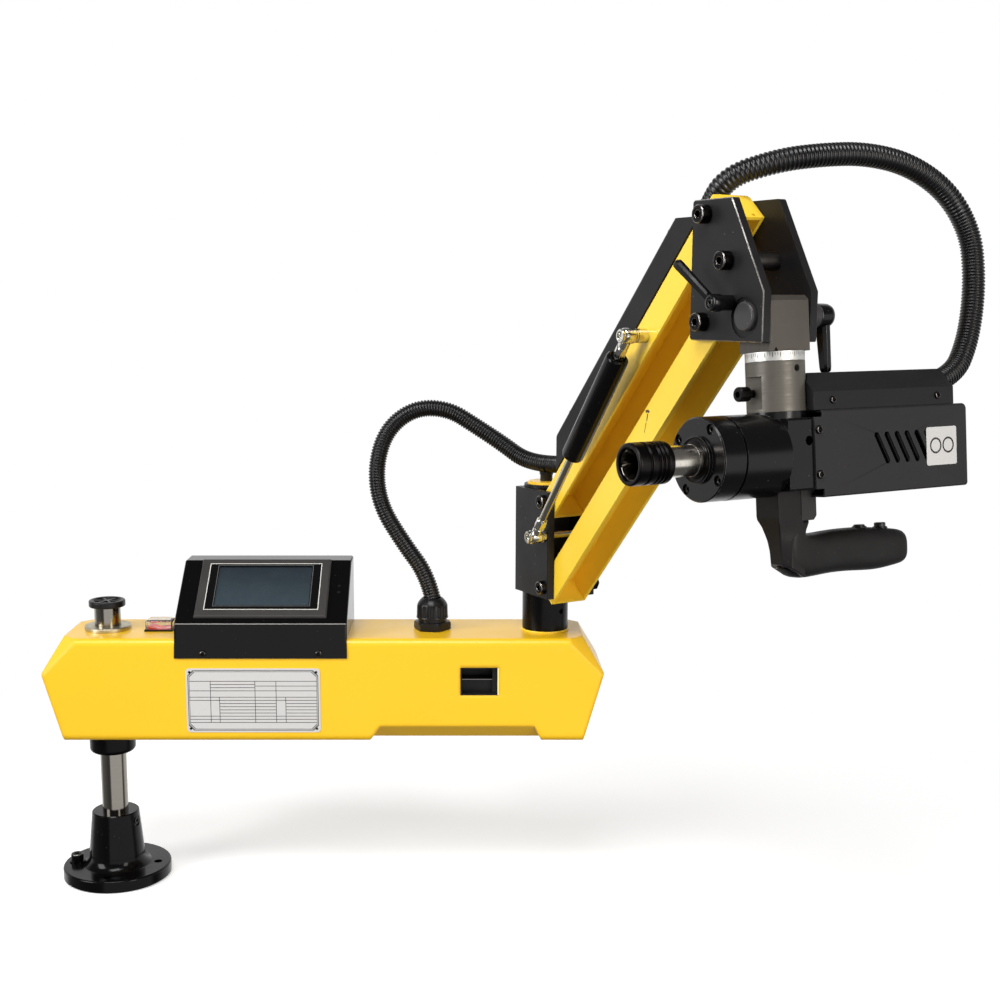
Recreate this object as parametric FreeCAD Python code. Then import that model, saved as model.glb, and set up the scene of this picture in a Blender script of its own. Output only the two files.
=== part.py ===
import FreeCAD, Part
import math
import os

# Arm tapping machine: a round base and column carry a swinging base arm, a post,
# a parallelogram lift arm with a gas strut, and a tapping head that tilts and swivels.
# Millimetres, +Z up, +X along the base arm. The origin is the column axis at the base's underside.

os.makedirs("parts", exist_ok=True)
V = FreeCAD.Vector

# ---------------------------------------------------------------- driving dimensions
RUNNING = 0.05            # radial clearance of a running fit
SHEET = 3.0               # arm and link sheet
COVER_SHEET = 1.5         # folded covers

COLUMN_R = 14.0
COLUMN_FOOT = 6.0
COLUMN_TOP = 305.0
FLANGE_R = 58.8
FLANGE_T = 13.5
HUB_TOP = 74.5
HUB_R = 25.5
BASE_PCD = 90.0
BASE_HOLE_R = 4.5
CAP_R = 19.4
CAP_T = 7.0
COLLAR_R = 24.6           # lower collar, post, graduated ring and swivel collar share it
COLLAR_H = 25.9

ARM_Z0 = 168.7
ARM_Z1 = 279.9
ARM_HALF_Y = 51.6
ARM_RIDGE_Z = 243.0
ARM_END = 38.5
ARM_RIDGE = 60.0
ARM_L = 474.8             # column axis to post axis
GEM = 18.0
BEND_R = 7.0
RELIEF_H = 17.0
RELIEF_D = 20.6
RELIEF_X = (ARM_L - 188.4, ARM_L - 176.8, ARM_L - 13.4, ARM_L - 5.3)
TOP_RING_H = 4.5
WINDOW = (ARM_L - 91.8, ARM_L - 50.9, 219.3, 249.5)

BOX_X = (81.5, 263.7)
BOX_SKIRT_Z = 259.7
BOX_FRONT_Z = 296.6
BOX_TOP_Z = 351.0
BOX_SLOPE_Y0 = -49.9
BOX_SLOPE_Y1 = 24.1
BEZEL = (101.6, 242.0, 7.0, 91.0)
LCD = (121.5, 222.0, 23.0, 79.6)
SWITCH = (42.5, 73.0, -15.0, 8.0)
GLAND_X = ARM_L - 122.3
GLAND_TOP = 314.8

ELBOW = 61.07             # the upper arm's turn about the post, towards the viewer
WASHER = 2.0
JOURNAL_R = 17.0
BRACKET_Z = (324.15, 436.3)
BRACKET_X = (-14.9, 50.4)
FORK_HALF = 21.5          # half the gap in both forks
FORK_WALL = 8.0
PIVOT_X = 42.6
LOWER_PIVOT_Z = 336.0
UPPER_PIVOT_Z = 426.3
PIN_R = 5.0
STRUT_PIN_Z = 390.6
STRUT_PIN_R = 4.0

LIFT = 47.65              # elevation of the links
LINK_L = 375.4
LINK_HALF = 21.0
LINK_BACK = 16.0
UPPER_OPEN = -13.0
LOWER_OPEN = -14.5
LINK_END = 12.0           # past the lower pivot
LINK_TIP = 8.9            # past the upper one
BORE_END = LINK_HALF - SHEET + 0.6   # the pivots' bores stop short of the sheet's inner face
CABLE_COVER_H = 26.0
STRUT_S = 234.7
STRUT_Y = -40.5
EYE_HALF = 6.0
STRUT_BORE_R = 7.0
STRUT_ROD_R = 4.0
STRUT_TUBE_R = 11.0

# The head bracket hangs on the bolt at the upper link's end.
BOLT_X = PIVOT_X + LINK_L * math.cos(math.radians(LIFT))
BOLT_Z = UPPER_PIVOT_Z + LINK_L * math.sin(math.radians(LIFT))
PLATE_LEFT = BOLT_X - 18.79
PLATE_RIGHT = BOLT_X + 76.3
PLATE_Z0 = BOLT_Z - 106.24
PLATE_Z1 = BOLT_Z + 12.56
PLATE_CORNER_R = 29.3
HEAD_PIN = (BOLT_X + 55.01, BOLT_Z - 85.04)
HEAD_PIN_R = 8.0
LEAN = 5.96               # head leans out at its bottom
SPACER = (BOLT_X + 30.21, BOLT_Z - 39.24)
LEVER = (BOLT_X + 35.81, BOLT_Z - 74.04)

BLOCK_V = (-19.5, 20.5)
BLOCK_U = 21.3
BLOCK_W = (-30.0, 16.0)
RING_T = 7.8
STUD_R = 12.0
SWIVEL_W0 = -38.0
SWIVEL_W1 = -79.5
SPINDLE_W = -115.4
HOUSING_R = 35.0
FLANGE_U = (-84.8, -61.0)
SPINDLE_R = 13.3
SPINDLE_NOSE = -119.3
CHUCK_NOSE = -153.8
SLEEVE_R = 17.35
TAP_BORE_R = 9.5
GEAR_HALF = 30.0
GEAR_U = (-14.3, 14.8)
MOTOR_U = (14.8, 190.0)
MOTOR_HALF = 32.0
MOTOR_W = (-152.3, -79.8)
HAT_U = (13.9, 176.0)
GRIP_W = -202.0
GRIP_HALF_H = 19.5
GRIP_HALF_V = 15.5
GRIP_END = 135.0
BUTTONS_U = (89.2, 113.7)

CONDUIT_1_R = 9.25
CONDUIT_2_R = 10.25
CONDUIT_1_LOWER = [(ARM_L + x, y, z) for x, y, z in (
    (-122, 0, 313.5), (-128.1, 0, 339.5), (-152.7, 4, 372.6), (-178.4, 10, 413.4),
    (-183.6, 18, 454.5), (-172, 27, 493.8), (-142, 35, 516.8), (-105.1, 40, 515.7),
    (-74.1, 39, 496.2), (-45, 32.5, 477.5), (-20.7, 19.8, 460), (0, 0, 460),
)]
# The other runs are in the frame of the post: X along the links, Z up.
CONDUIT_1_UPPER = [(0, 0, 460), (21, 6.56, 460), (44, 6, 467), (66, 3, 489), (82.6, 0, 512.5)]
CONDUIT_2_LOWER = [(BOLT_X + x, y, BOLT_Z + z) for x, y, z in (
    (-55.29, 0, -18.14), (-34.99, 0, 5.26), (-11.49, -0.8, 32.26), (12.51, 35.1, 46.26),
    (16.76, 56.6, 49.31),
)]
CONDUIT_2_MIDDLE = [(BOLT_X + x, y, BOLT_Z + z) for x, y, z in (
    (16.76, 56.6, 49.31), (21.01, 78.1, 52.36), (26.01, 124, 55.06), (32.01, 171.5, 47.56),
    (37.31, 215.5, 24.66), (40.36, 227.95, 6.71),
)]
CONDUIT_2_UPPER = [(BOLT_X + x, y, BOLT_Z + z) for x, y, z in (
    (40.36, 227.95, 6.71), (43.41, 240.4, -11.24), (48.11, 243.1, -47.14), (53.11, 238, -80.04),
    (57.11, 228.1, -111.74), (61.81, 208.8, -139.04), (61.51, 179, -146.84),
)]


# ---------------------------------------------------------------- shape helpers
def box(x0, x1, y0, y1, z0, z1):
    return Part.makeBox(x1 - x0, y1 - y0, z1 - z0, V(x0, y0, z0))


def cyl(radius, start, end):
    start = V(*start)
    along = V(*end) - start
    return Part.makeCylinder(radius, along.Length, start, along)


def tube(outer, inner, start, end):
    return cyl(outer, start, end).cut(cyl(inner, start, end))


def prism(points, plane, low, high):
    """Straight-sided outline in the plane xz, yz or xy, drawn out along the third axis."""
    place = {
        "xz": lambda a, b, c: V(a, c, b),
        "yz": lambda a, b, c: V(c, a, b),
        "xy": lambda a, b, c: V(a, b, c),
    }[plane]
    wire = Part.makePolygon([place(a, b, low) for a, b in points + points[:1]])
    return Part.Face(wire).extrude(place(0, 0, high - low))


def beyond(point, normal):
    """A half space: everything past the plane through point."""
    return Part.makeCylinder(900, 900, V(*point), V(*normal))


def join(shapes):
    result = shapes[0].fuse(shapes[1:]) if len(shapes) > 1 else shapes[0]
    return result.removeSplitter()


def group(shapes):
    return Part.makeCompound(shapes)


def soften(shape, radius, test):
    """Round the edges that test picks."""
    edges = [edge for edge in shape.Edges if test(edge)]
    return shape.makeFillet(radius, edges)


def bevel(shape, size, test):
    edges = [edge for edge in shape.Edges if test(edge)]
    return shape.makeChamfer(size, edges)


def runs_along(axis):
    direction = {"x": V(1, 0, 0), "y": V(0, 1, 0), "z": V(0, 0, 1)}[axis]

    def test(edge):
        if edge.Curve.TypeId != "Part::GeomLine":
            return False
        return edge.tangentAt(edge.FirstParameter).cross(direction).Length < 0.01
    return test


def middle(edge):
    return edge.BoundBox.Center


def socket_screw(shank_r, head_r, head_h, root, outward, shank):
    """Cap screw: root is on the face it bears on, outward points to its head."""
    root = V(*root)
    outward = V(*outward)
    head = Part.makeCylinder(head_r, head_h, root, outward)
    rim = [edge for edge in head.Edges if (middle(edge) - root).dot(outward) > head_h - 0.01 and edge.Closed]
    head = head.makeChamfer(min(0.6, head_h * 0.2), rim[:1])
    hexagon = Part.makeCylinder(head_r * 0.5, head_h * 0.6, root + outward * (head_h * 0.4), outward)
    head = head.cut(hexagon)
    if shank > 0:
        head = head.fuse(Part.makeCylinder(shank_r, shank, root - outward * shank, outward))
    return head


def rounded_path(points):
    """Straight runs joined by tangent arcs, and the radius of each arc."""
    points = [V(*p) for p in points]
    edges = []
    radii = []
    at = points[0]
    for before, corner, after in zip(points, points[1:], points[2:]):
        back = before - corner
        ahead = after - corner
        setback = 0.45 * min(back.Length, ahead.Length)
        turn = math.pi - back.getAngle(ahead)
        start = corner + back.normalize() * setback
        end = corner + ahead.normalize() * setback
        radius = setback / math.tan(turn / 2)
        toward = (V(back) + V(ahead)).normalize()
        centre = corner + toward * (radius / math.cos(turn / 2))
        halfway = centre - toward * radius
        edges.append(Part.makeLine(at, start))
        edges.append(Part.Arc(start, halfway, end).toShape())
        radii.append(radius)
        at = end
    edges.append(Part.makeLine(at, points[-1]))
    return edges, radii


def conduit(points, radius, name):
    edges, radii = rounded_path(points)
    path = Part.Wire(edges)
    first = edges[0]
    ring = Part.Wire(Part.makeCircle(radius, first.firstVertex().Point, first.tangentAt(0)))
    solid = path.makePipeShell([ring], True, False)
    length = sum(edge.Length for edge in edges)
    area = math.pi * radius ** 2
    print(name, "radii", [round(r, 1) for r in radii], "volume", round(solid.Volume / (length * area), 4))
    return solid


# ---------------------------------------------------------------- frames
def at_post(shape):
    """From the post's frame (X along the links) to the machine's."""
    shape = shape.copy()
    shape.rotate(V(0, 0, 0), V(0, 0, 1), -ELBOW)
    shape.translate(V(ARM_L, 0, 0))
    return shape


def on_link(shape, pivot_z):
    """From a link's frame: X from its lower pivot to its upper one, Z to its closed back."""
    shape = shape.copy()
    shape.rotate(V(0, 0, 0), V(0, 1, 0), -LIFT)
    shape.translate(V(PIVOT_X, 0, pivot_z))
    return at_post(shape)


def on_head(shape):
    """From the head's frame: origin on the tilt pin, X away from the links, Y back, Z up."""
    shape = shape.copy()
    shape.rotate(V(0, 0, 0), V(0, 1, 0), -LEAN)
    shape.translate(V(HEAD_PIN[0], 0, HEAD_PIN[1]))
    return at_post(shape)


def link_point(s, back, pivot_z):
    angle = math.radians(LIFT)
    x = PIVOT_X + s * math.cos(angle) - back * math.sin(angle)
    z = pivot_z + s * math.sin(angle) + back * math.cos(angle)
    return x, z


nodes = {}

# ---------------------------------------------------------------- base and column
hub_outline = [
    Part.makeLine(V(0, 0, 0), V(FLANGE_R - 1.5, 0, 0)),
    Part.makeLine(V(FLANGE_R - 1.5, 0, 0), V(FLANGE_R, 0, 1.5)),
    Part.makeLine(V(FLANGE_R, 0, 1.5), V(FLANGE_R, 0, FLANGE_T - 2)),
    Part.Arc(V(FLANGE_R, 0, FLANGE_T - 2), V(FLANGE_R - 0.6, 0, FLANGE_T - 0.6),
             V(FLANGE_R - 2, 0, FLANGE_T)).toShape(),
    Part.makeLine(V(FLANGE_R - 2, 0, FLANGE_T), V(38, 0, FLANGE_T)),
    Part.Arc(V(38, 0, FLANGE_T), V(32.4, 0, 18), V(30, 0, 27)).toShape(),
    Part.makeLine(V(30, 0, 27), V(HUB_R, 0, HUB_TOP - 1)),
    Part.makeLine(V(HUB_R, 0, HUB_TOP - 1), V(HUB_R - 1, 0, HUB_TOP)),
    Part.makeLine(V(HUB_R - 1, 0, HUB_TOP), V(0, 0, HUB_TOP)),
    Part.makeLine(V(0, 0, HUB_TOP), V(0, 0, 0)),
]
base = Part.Face(Part.Wire(hub_outline)).revolve(V(0, 0, 0), V(0, 0, 1), 360)
base = base.cut(cyl(COLUMN_R, (0, 0, COLUMN_FOOT), (0, 0, HUB_TOP)))
for k in range(4):
    angle = math.radians(90 * k)
    x = BASE_PCD / 2 * math.cos(angle)
    y = BASE_PCD / 2 * math.sin(angle)
    base = base.cut(cyl(BASE_HOLE_R, (x, y, -1), (x, y, FLANGE_T + 1)))
HUB_SCREW = V(math.cos(math.radians(-17)), math.sin(math.radians(-17)), 0)
HUB_SCREW_Z = 64.0
HUB_SCREW_R = 4.0
screw_axis = V(0, 0, HUB_SCREW_Z)
base = base.cut(Part.makeCylinder(HUB_SCREW_R, 30, screw_axis, HUB_SCREW))
base = base.cut(Part.makeCylinder(HUB_SCREW_R + 2, 30, screw_axis + HUB_SCREW * 25.4, HUB_SCREW))
nodes["base_flange"] = base
hub_screw = Part.makeCylinder(HUB_SCREW_R, 12, screw_axis + HUB_SCREW * 14.2, HUB_SCREW)
nodes["hub_screw"] = hub_screw.cut(Part.makeCylinder(2, 4, screw_axis + HUB_SCREW * 23, HUB_SCREW))

nodes["column"] = cyl(COLUMN_R, (0, 0, COLUMN_FOOT), (0, 0, COLUMN_TOP))
cap = cyl(CAP_R, (0, 0, COLUMN_TOP), (0, 0, COLUMN_TOP + CAP_T))
cap = soften(cap, 1.5, lambda e: e.Closed)
cap = cap.cut(Part.makeCone(13, 15.5, 2.5, V(0, 0, COLUMN_TOP + CAP_T - 2.5), V(0, 0, 1)))
for k in range(3):
    rib = box(-13.2, 13.2, -1.1, 1.1, COLUMN_TOP + CAP_T - 2.6, COLUMN_TOP + CAP_T - 0.6)
    rib.rotate(V(0, 0, 0), V(0, 0, 1), 60 * k)
    cap = cap.fuse(rib)
nodes["column_cap"] = cap.removeSplitter()
collar_z = ARM_Z0 - COLLAR_H
collar = tube(COLLAR_R, COLUMN_R, (0, 0, collar_z), (0, 0, ARM_Z0))
collar = soften(collar, 5, lambda e: e.Closed and middle(e).z < collar_z + 0.1 and e.Length > 120)
nodes["lower_collar"] = collar


# ---------------------------------------------------------------- base arm shell
def arm_body(inset):
    low = ARM_Z0 + inset
    high = ARM_Z1 - inset
    half = ARM_HALF_Y - inset
    body = box(-90, ARM_L + 90, -half, half, low, high)
    body = soften(body, BEND_R - inset, runs_along("x"))
    end_slope_low = (ARM_RIDGE - ARM_END) / (ARM_RIDGE_Z - ARM_Z0)
    end_slope_high = (ARM_RIDGE - ARM_END) / (ARM_Z1 - ARM_RIDGE_Z)
    for side, centre in ((-1, 0), (1, ARM_L)):
        ridge = centre + side * ARM_RIDGE
        for slope, sign in ((end_slope_low, -1), (end_slope_high, 1)):
            normal = V(side, 0, sign * slope).normalize()
            at = V(ridge, 0, ARM_RIDGE_Z) - normal * inset
            body = body.cut(beyond(at, normal))
        for face in (-1, 1):
            a = V(centre + side * (ARM_END - GEM), face * ARM_HALF_Y, ARM_Z1)
            b = V(centre + side * ARM_END, face * (ARM_HALF_Y - GEM), ARM_Z1)
            c = V(centre + side * ARM_RIDGE, face * ARM_HALF_Y, ARM_RIDGE_Z - 3)
            normal = (b - a).cross(c - a).normalize()
            if normal.x * side < 0:
                normal = normal * -1
            body = body.cut(beyond(a - normal * inset, normal))
    for face in (-1, 1):
        normal = V(0, face * RELIEF_H, -RELIEF_D).normalize()
        at = V(0, face * ARM_HALF_Y, ARM_Z0 + RELIEF_H) - normal * inset
        grown = inset * 1.2
        outline = [
            (RELIEF_X[0] - grown, ARM_Z0 - 5), (RELIEF_X[0] - grown, ARM_Z0),
            (RELIEF_X[1] - grown, ARM_Z0 + RELIEF_H + inset), (RELIEF_X[2] + grown, ARM_Z0 + RELIEF_H + inset),
            (RELIEF_X[3] + grown, ARM_Z0), (RELIEF_X[3] + grown, ARM_Z0 - 5),
        ]
        reach = sorted((face * 20.0, face * 70.0))
        wedge = prism(outline, "xz", reach[0], reach[1])
        body = body.cut(wedge.common(beyond(at, normal)))
    return body


shell = arm_body(0).cut(arm_body(SHEET))
SHELL_CLEAR = 0.5
ACCESS = (70.0, 262.0, -28.0, 28.0)
shell = shell.cut(cyl(COLUMN_R + SHELL_CLEAR, (0, 0, 150), (0, 0, 300)))
shell = shell.cut(cyl(JOURNAL_R + SHELL_CLEAR, (ARM_L, 0, 250), (ARM_L, 0, 300)))
shell = shell.cut(box(WINDOW[0], WINDOW[1], -60, -40, WINDOW[2], WINDOW[3]))
shell = shell.cut(box(*ACCESS, ARM_Z0 - 1, ARM_Z0 + 5))
shell = shell.cut(cyl(13, (GLAND_X, 0, 270), (GLAND_X, 0, 290)))
shell = shell.cut(box(44, 71.5, -13.5, 6.5, 270, 290))
nodes["arm_shell"] = shell

inner_z = (ARM_Z0 + SHEET, ARM_Z1 - SHEET)
nodes["bearing_housings"] = group([
    tube(30, COLUMN_R + RUNNING, (0, 0, inner_z[0]), (0, 0, inner_z[1])),
    tube(29, JOURNAL_R + RUNNING, (ARM_L, 0, inner_z[0]), (ARM_L, 0, inner_z[1])),
])
top_ring = tube(24.8, COLUMN_R + RUNNING, (0, 0, ARM_Z1), (0, 0, ARM_Z1 + TOP_RING_H))
top_ring = bevel(top_ring, 0.8, lambda e: e.Closed and middle(e).z > ARM_Z1 + 4 and e.Length > 120)
post_washer = tube(COLLAR_R + 1, JOURNAL_R + 0.3, (ARM_L, 0, ARM_Z1), (ARM_L, 0, ARM_Z1 + WASHER))
nodes["arm_rings"] = group([top_ring, post_washer])

cover_plate = box(ACCESS[0] - 8, ACCESS[1] + 8, ACCESS[2] - 6, ACCESS[3] + 6, ARM_Z0 - 2, ARM_Z0)
nodes["bottom_cover"] = cover_plate
arm_screws = [
    socket_screw(1.5, 3, 1.5, (x, y, ARM_Z0 - 2), (0, 0, -1), 0)
    for x in (68, 166, 264) for y in (-30, 30)
]

liner_front = -ARM_HALF_Y + 0.5
liner = box(WINDOW[0], WINDOW[1], liner_front, -22, WINDOW[2], WINDOW[3])
liner = liner.cut(box(WINDOW[0] + 1.5, WINDOW[1] - 1.5, liner_front - 1, -23.5, WINDOW[2] + 1.5, WINDOW[3] - 1.5))
ledge = box(WINDOW[0] + 1.5, WINDOW[1] - 1.5, -40, -23.5, WINDOW[2] + 1.5, WINDOW[2] + 14.7)
stile = box(WINDOW[1] - 6.9, WINDOW[1] - 1.5, -46, -40, WINDOW[2] + 1.5, WINDOW[3] - 1.5)
nodes["window_liner"] = join([liner, ledge, stile])

PLATE = (92.9, 234.8, 179.1, 248.9)
plate = box(PLATE[0], PLATE[1], -ARM_HALF_Y - 0.6, -ARM_HALF_Y, PLATE[2], PLATE[3])
nodes["nameplate"] = soften(plate, 4, runs_along("y"))
arm_screws += [
    socket_screw(1, 1.7, 0.8, (x, -ARM_HALF_Y - 0.6, z), (0, -1, 0), 0)
    for x in (PLATE[0] + 4, PLATE[1] - 4) for z in (PLATE[2] + 4, PLATE[3] - 4)
]

# ---------------------------------------------------------------- control box
BOX_BACK_Y = ARM_HALF_Y + COVER_SHEET
slope = math.atan2(BOX_TOP_Z - BOX_FRONT_Z, BOX_SLOPE_Y1 - BOX_SLOPE_Y0)


def box_outline(inset):
    """Side outline of the control box, front skirt to back skirt."""
    front_lean = (BOX_SLOPE_Y0 + BOX_BACK_Y) / (BOX_FRONT_Z - BOX_SKIRT_Z)
    top = BOX_TOP_Z - inset
    drop = inset / math.cos(slope)
    front = -BOX_BACK_Y + inset
    nose_y = BOX_SLOPE_Y0 + inset
    nose_z = BOX_FRONT_Z + (nose_y - BOX_SLOPE_Y0) * math.tan(slope) - drop
    back_y = BOX_SLOPE_Y0 + (top + drop - BOX_FRONT_Z) / math.tan(slope)
    skirt = BOX_SKIRT_Z - (1 if inset else 0)
    return [(front, skirt), (front + front_lean, skirt + 18), (nose_y, nose_z), (back_y, top),
            (BOX_BACK_Y - inset, top), (BOX_BACK_Y - inset, skirt)]


cover = prism(box_outline(0), "yz", BOX_X[0], BOX_X[1])
cover = soften(cover, 2.5, lambda e: abs(e.BoundBox.XLength) < 0.5 and middle(e).z > ARM_Z1 + 1)
cover = cover.cut(prism(box_outline(COVER_SHEET), "yz", BOX_X[0] + COVER_SHEET, BOX_X[1] - COVER_SHEET))
cover = cover.cut(box(0, 400, -ARM_HALF_Y, ARM_HALF_Y, 200, ARM_Z1))


def on_slope(shape):
    """From the sloping face's frame: X along the box, Y up the slope, Z out of it."""
    shape = shape.copy()
    shape.rotate(V(0, 0, 0), V(1, 0, 0), math.degrees(slope))
    shape.translate(V(0, BOX_SLOPE_Y0, BOX_FRONT_Z))
    return shape


BEZEL_H = 3.5
hmi_back = box(BEZEL[0] + 5, BEZEL[1] - 5, BEZEL[2] + 5, BEZEL[3] - 5, -26, 0)
cover = cover.cut(on_slope(hmi_back))
cover = cover.cut(on_slope(group([cyl(1.8, (252.6, s, -5), (252.6, s, 5)) for s in (44, 53)])))
nodes["control_box_cover"] = cover
bezel = bevel(box(*BEZEL, 0, BEZEL_H), 1.4, lambda e: middle(e).z > BEZEL_H - 0.1)
bezel = bezel.cut(box(*LCD, BEZEL_H - 1.6, 10))
nodes["hmi_bezel"] = on_slope(join([bezel, hmi_back]))
lamps = [cyl(1.8, (252.6, s, -3), (252.6, s, 0.7)) for s in (44, 53)]
nodes["hmi_screen"] = on_slope(group([box(*LCD, BEZEL_H - 1.6, BEZEL_H - 0.8)] + lamps))
arm_screws += [
    socket_screw(1.5, 3.4, 1.8, (x, face * BOX_BACK_Y, 265.3), (0, face, 0), 0)
    for x in (BOX_X[0] + 30.5, BOX_X[1] - 29.8) for face in (-1, 1)
]
nodes["arm_screws"] = group(arm_screws)

# ---------------------------------------------------------------- power switch and gland
SWITCH_MID = (SWITCH[0] + SWITCH[1]) / 2
ROCKER_Z = ARM_Z1 - 1.0
frame = join([box(*SWITCH, ARM_Z1, ARM_Z1 + 2), box(44, 71.5, -13.5, 6.5, ARM_Z1 - 20, ARM_Z1)])
frame = frame.cut(box(45, 70.5, -12.5, 5.5, ARM_Z1 - 10, ARM_Z1 + 3))
frame = frame.fuse(cyl(1.5, (SWITCH_MID, -12.5, ROCKER_Z), (SWITCH_MID, 5.5, ROCKER_Z)))
nodes["switch_frame"] = frame
rocker = prism([(-12.2, 1), (-11.3, 6), (0, 3.2), (11.7, 3.4), (12.0, -0.5), (0, -5)], "xz", -12.2, 5.2)
rocker = rocker.cut(cyl(1.5 + RUNNING, (0, -20, 0), (0, 20, 0)))
rocker.translate(V(SWITCH_MID, 0, ROCKER_Z))
nodes["switch_rocker"] = rocker
hood = box(43.2, 72.3, -14.3, 7.3, ARM_Z1 + 2, ARM_Z1 + 12)
hood = soften(hood, 3, lambda e: middle(e).z > ARM_Z1 + 3)
hood = hood.cut(box(44.2, 71.3, -13.3, 6.3, ARM_Z1, ARM_Z1 + 11))
nodes["switch_cover"] = hood

hexagon = [(20.3 * math.cos(math.radians(60 * k + 8)), 20.3 * math.sin(math.radians(60 * k + 8))) for k in range(6)]
gland_base = prism(hexagon, "xy", ARM_Z1, 290)
gland_base = gland_base.common(Part.makeCone(26, 19, 14, V(0, 0, ARM_Z1 - 2), V(0, 0, 1)))
gland_base = join([gland_base, cyl(12.8, (0, 0, ARM_Z1 - 12), (0, 0, ARM_Z1))])
gland_base = gland_base.cut(cyl(7.5, (0, 0, 200), (0, 0, 320)))
gland_base.translate(V(GLAND_X, 0, 0))
nut = join([cyl(17.2, (0, 0, 290), (0, 0, 307)), Part.makeCone(17.2, 11.5, GLAND_TOP - 307, V(0, 0, 307), V(0, 0, 1))])
for k in range(12):
    rib = box(16, 18, -1.8, 1.8, 290.5, 306)
    rib.rotate(V(0, 0, 0), V(0, 0, 1), 30 * k)
    nut = nut.fuse(rib)
nut = nut.removeSplitter().cut(cyl(7.5, (0, 0, 200), (0, 0, 320)))
nut.translate(V(GLAND_X, 0, 0))
nodes["cable_gland"] = group([gland_base, nut])

# ---------------------------------------------------------------- post
post_foot = ARM_Z1 + WASHER
post = join([
    cyl(JOURNAL_R, (0, 0, ARM_Z0 + 6), (0, 0, post_foot)),
    cyl(COLLAR_R, (0, 0, post_foot), (0, 0, BRACKET_Z[0])),
])
POST_SCREW = V(math.cos(math.radians(12)), math.sin(math.radians(12)), 0)
POST_SCREW_Z = 303.0
post = post.cut(Part.makeCylinder(3, 10, V(0, 0, POST_SCREW_Z) + POST_SCREW * 18, POST_SCREW))
nodes["post_tube"] = at_post(post)
post_screw = Part.makeCylinder(3, 5, V(0, 0, POST_SCREW_Z) + POST_SCREW * 18, POST_SCREW)

fork_outer = FORK_HALF + FORK_WALL
core = cyl(COLLAR_R, (0, 0, BRACKET_Z[0]), (0, 0, BRACKET_Z[1]))
core = core.common(box(-40, 16, -FORK_HALF, FORK_HALF, BRACKET_Z[0], BRACKET_Z[1]))
walls = []
for side in (-1, 1):
    y0, y1 = sorted((side * FORK_HALF, side * fork_outer))
    walls.append(box(*BRACKET_X, y0, y1, *BRACKET_Z))
rim = tube(23.5, 20.0, (0, 0, BRACKET_Z[1]), (0, 0, BRACKET_Z[1] + 3)).common(box(-40, 24, -40, 40, 0, 500))
bracket = join([core, rim] + walls)
bracket = bevel(bracket, 1, lambda e: runs_along("z")(e) and abs(abs(middle(e).y) - fork_outer) < 0.1)
for z, radius in ((LOWER_PIVOT_Z, PIN_R), (UPPER_PIVOT_Z, PIN_R), (STRUT_PIN_Z, STRUT_PIN_R)):
    bracket = bracket.cut(cyl(radius, (PIVOT_X, -40, z), (PIVOT_X, 40, z)))
nodes["post_bracket"] = at_post(bracket)


def hexagon_head(x, z, across):
    ring = [(across * math.cos(math.radians(60 * k)), across * math.sin(math.radians(60 * k))) for k in range(6)]
    return prism([(x + a, z + b) for a, b in ring], "xz", fork_outer, fork_outer + 6)


def pivot_bolts(x, z, head_r, head_h):
    """A short bolt from each side, through the fork wall into the link's side plate."""
    inner = BORE_END + 0.4
    near = socket_screw(PIN_R, head_r, head_h, (x, -fork_outer, z), (0, -1, 0), fork_outer - inner)
    far = hexagon_head(x, z, 8.5).fuse(cyl(PIN_R, (x, inner, z), (x, fork_outer, z)))
    return [near, far.removeSplitter()]


nodes["post_bolts"] = at_post(group(
    pivot_bolts(PIVOT_X, LOWER_PIVOT_Z, 7, 6.5) + pivot_bolts(PIVOT_X, UPPER_PIVOT_Z, 7, 6.5) + [post_screw]
))
eye_near = STRUT_Y - EYE_HALF
eye_far = STRUT_Y + EYE_HALF


def strut_stud(x, z, inner_end, face):
    """Stud with a shoulder on the face it leaves and a head outside the eye."""
    stud = cyl(STRUT_PIN_R, (x, inner_end, z), (x, eye_near - 0.2, z))
    shoulder = cyl(6.5, (x, face, z), (x, eye_far + 0.2, z))
    head = cyl(6.2, (x, eye_near - 3.2, z), (x, eye_near - 0.2, z))
    head = bevel(head, 0.7, lambda e: e.Closed and middle(e).y < eye_near - 3)
    return join([stud, shoulder, head])


nodes["strut_lower_stud"] = at_post(strut_stud(PIVOT_X, STRUT_PIN_Z, fork_outer + 1, -fork_outer))
disc = cyl(20.0, (0, 0, BRACKET_Z[1]), (0, 0, BRACKET_Z[1] + 5.5))
nodes["post_top_disc"] = at_post(bevel(disc, 1, lambda e: e.Closed and middle(e).z > BRACKET_Z[1] + 5))
CLIP_DIRECTION = V(0.955, 0.297, 0)
clip_at = V(0, 0, 460)
band = Part.makeCylinder(CONDUIT_1_R + 2.5, 9, clip_at - CLIP_DIRECTION * 4.5, CLIP_DIRECTION)
standoff = cyl(6.5, (0, 0, BRACKET_Z[1] + 5.5), (0, 0, 455))
clip = join([band, standoff])
clip = clip.cut(Part.makeCylinder(CONDUIT_1_R + 0.3, 30, clip_at - CLIP_DIRECTION * 15, CLIP_DIRECTION))
clip = clip.cut(box(-30, 30, -30, 30, 456, 480))
nodes["conduit_clip"] = at_post(clip)


# ---------------------------------------------------------------- links
FLAPS = ((-LINK_END, SHEET - LINK_END), (LINK_L + LINK_TIP - SHEET, LINK_L + LINK_TIP))


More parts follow.
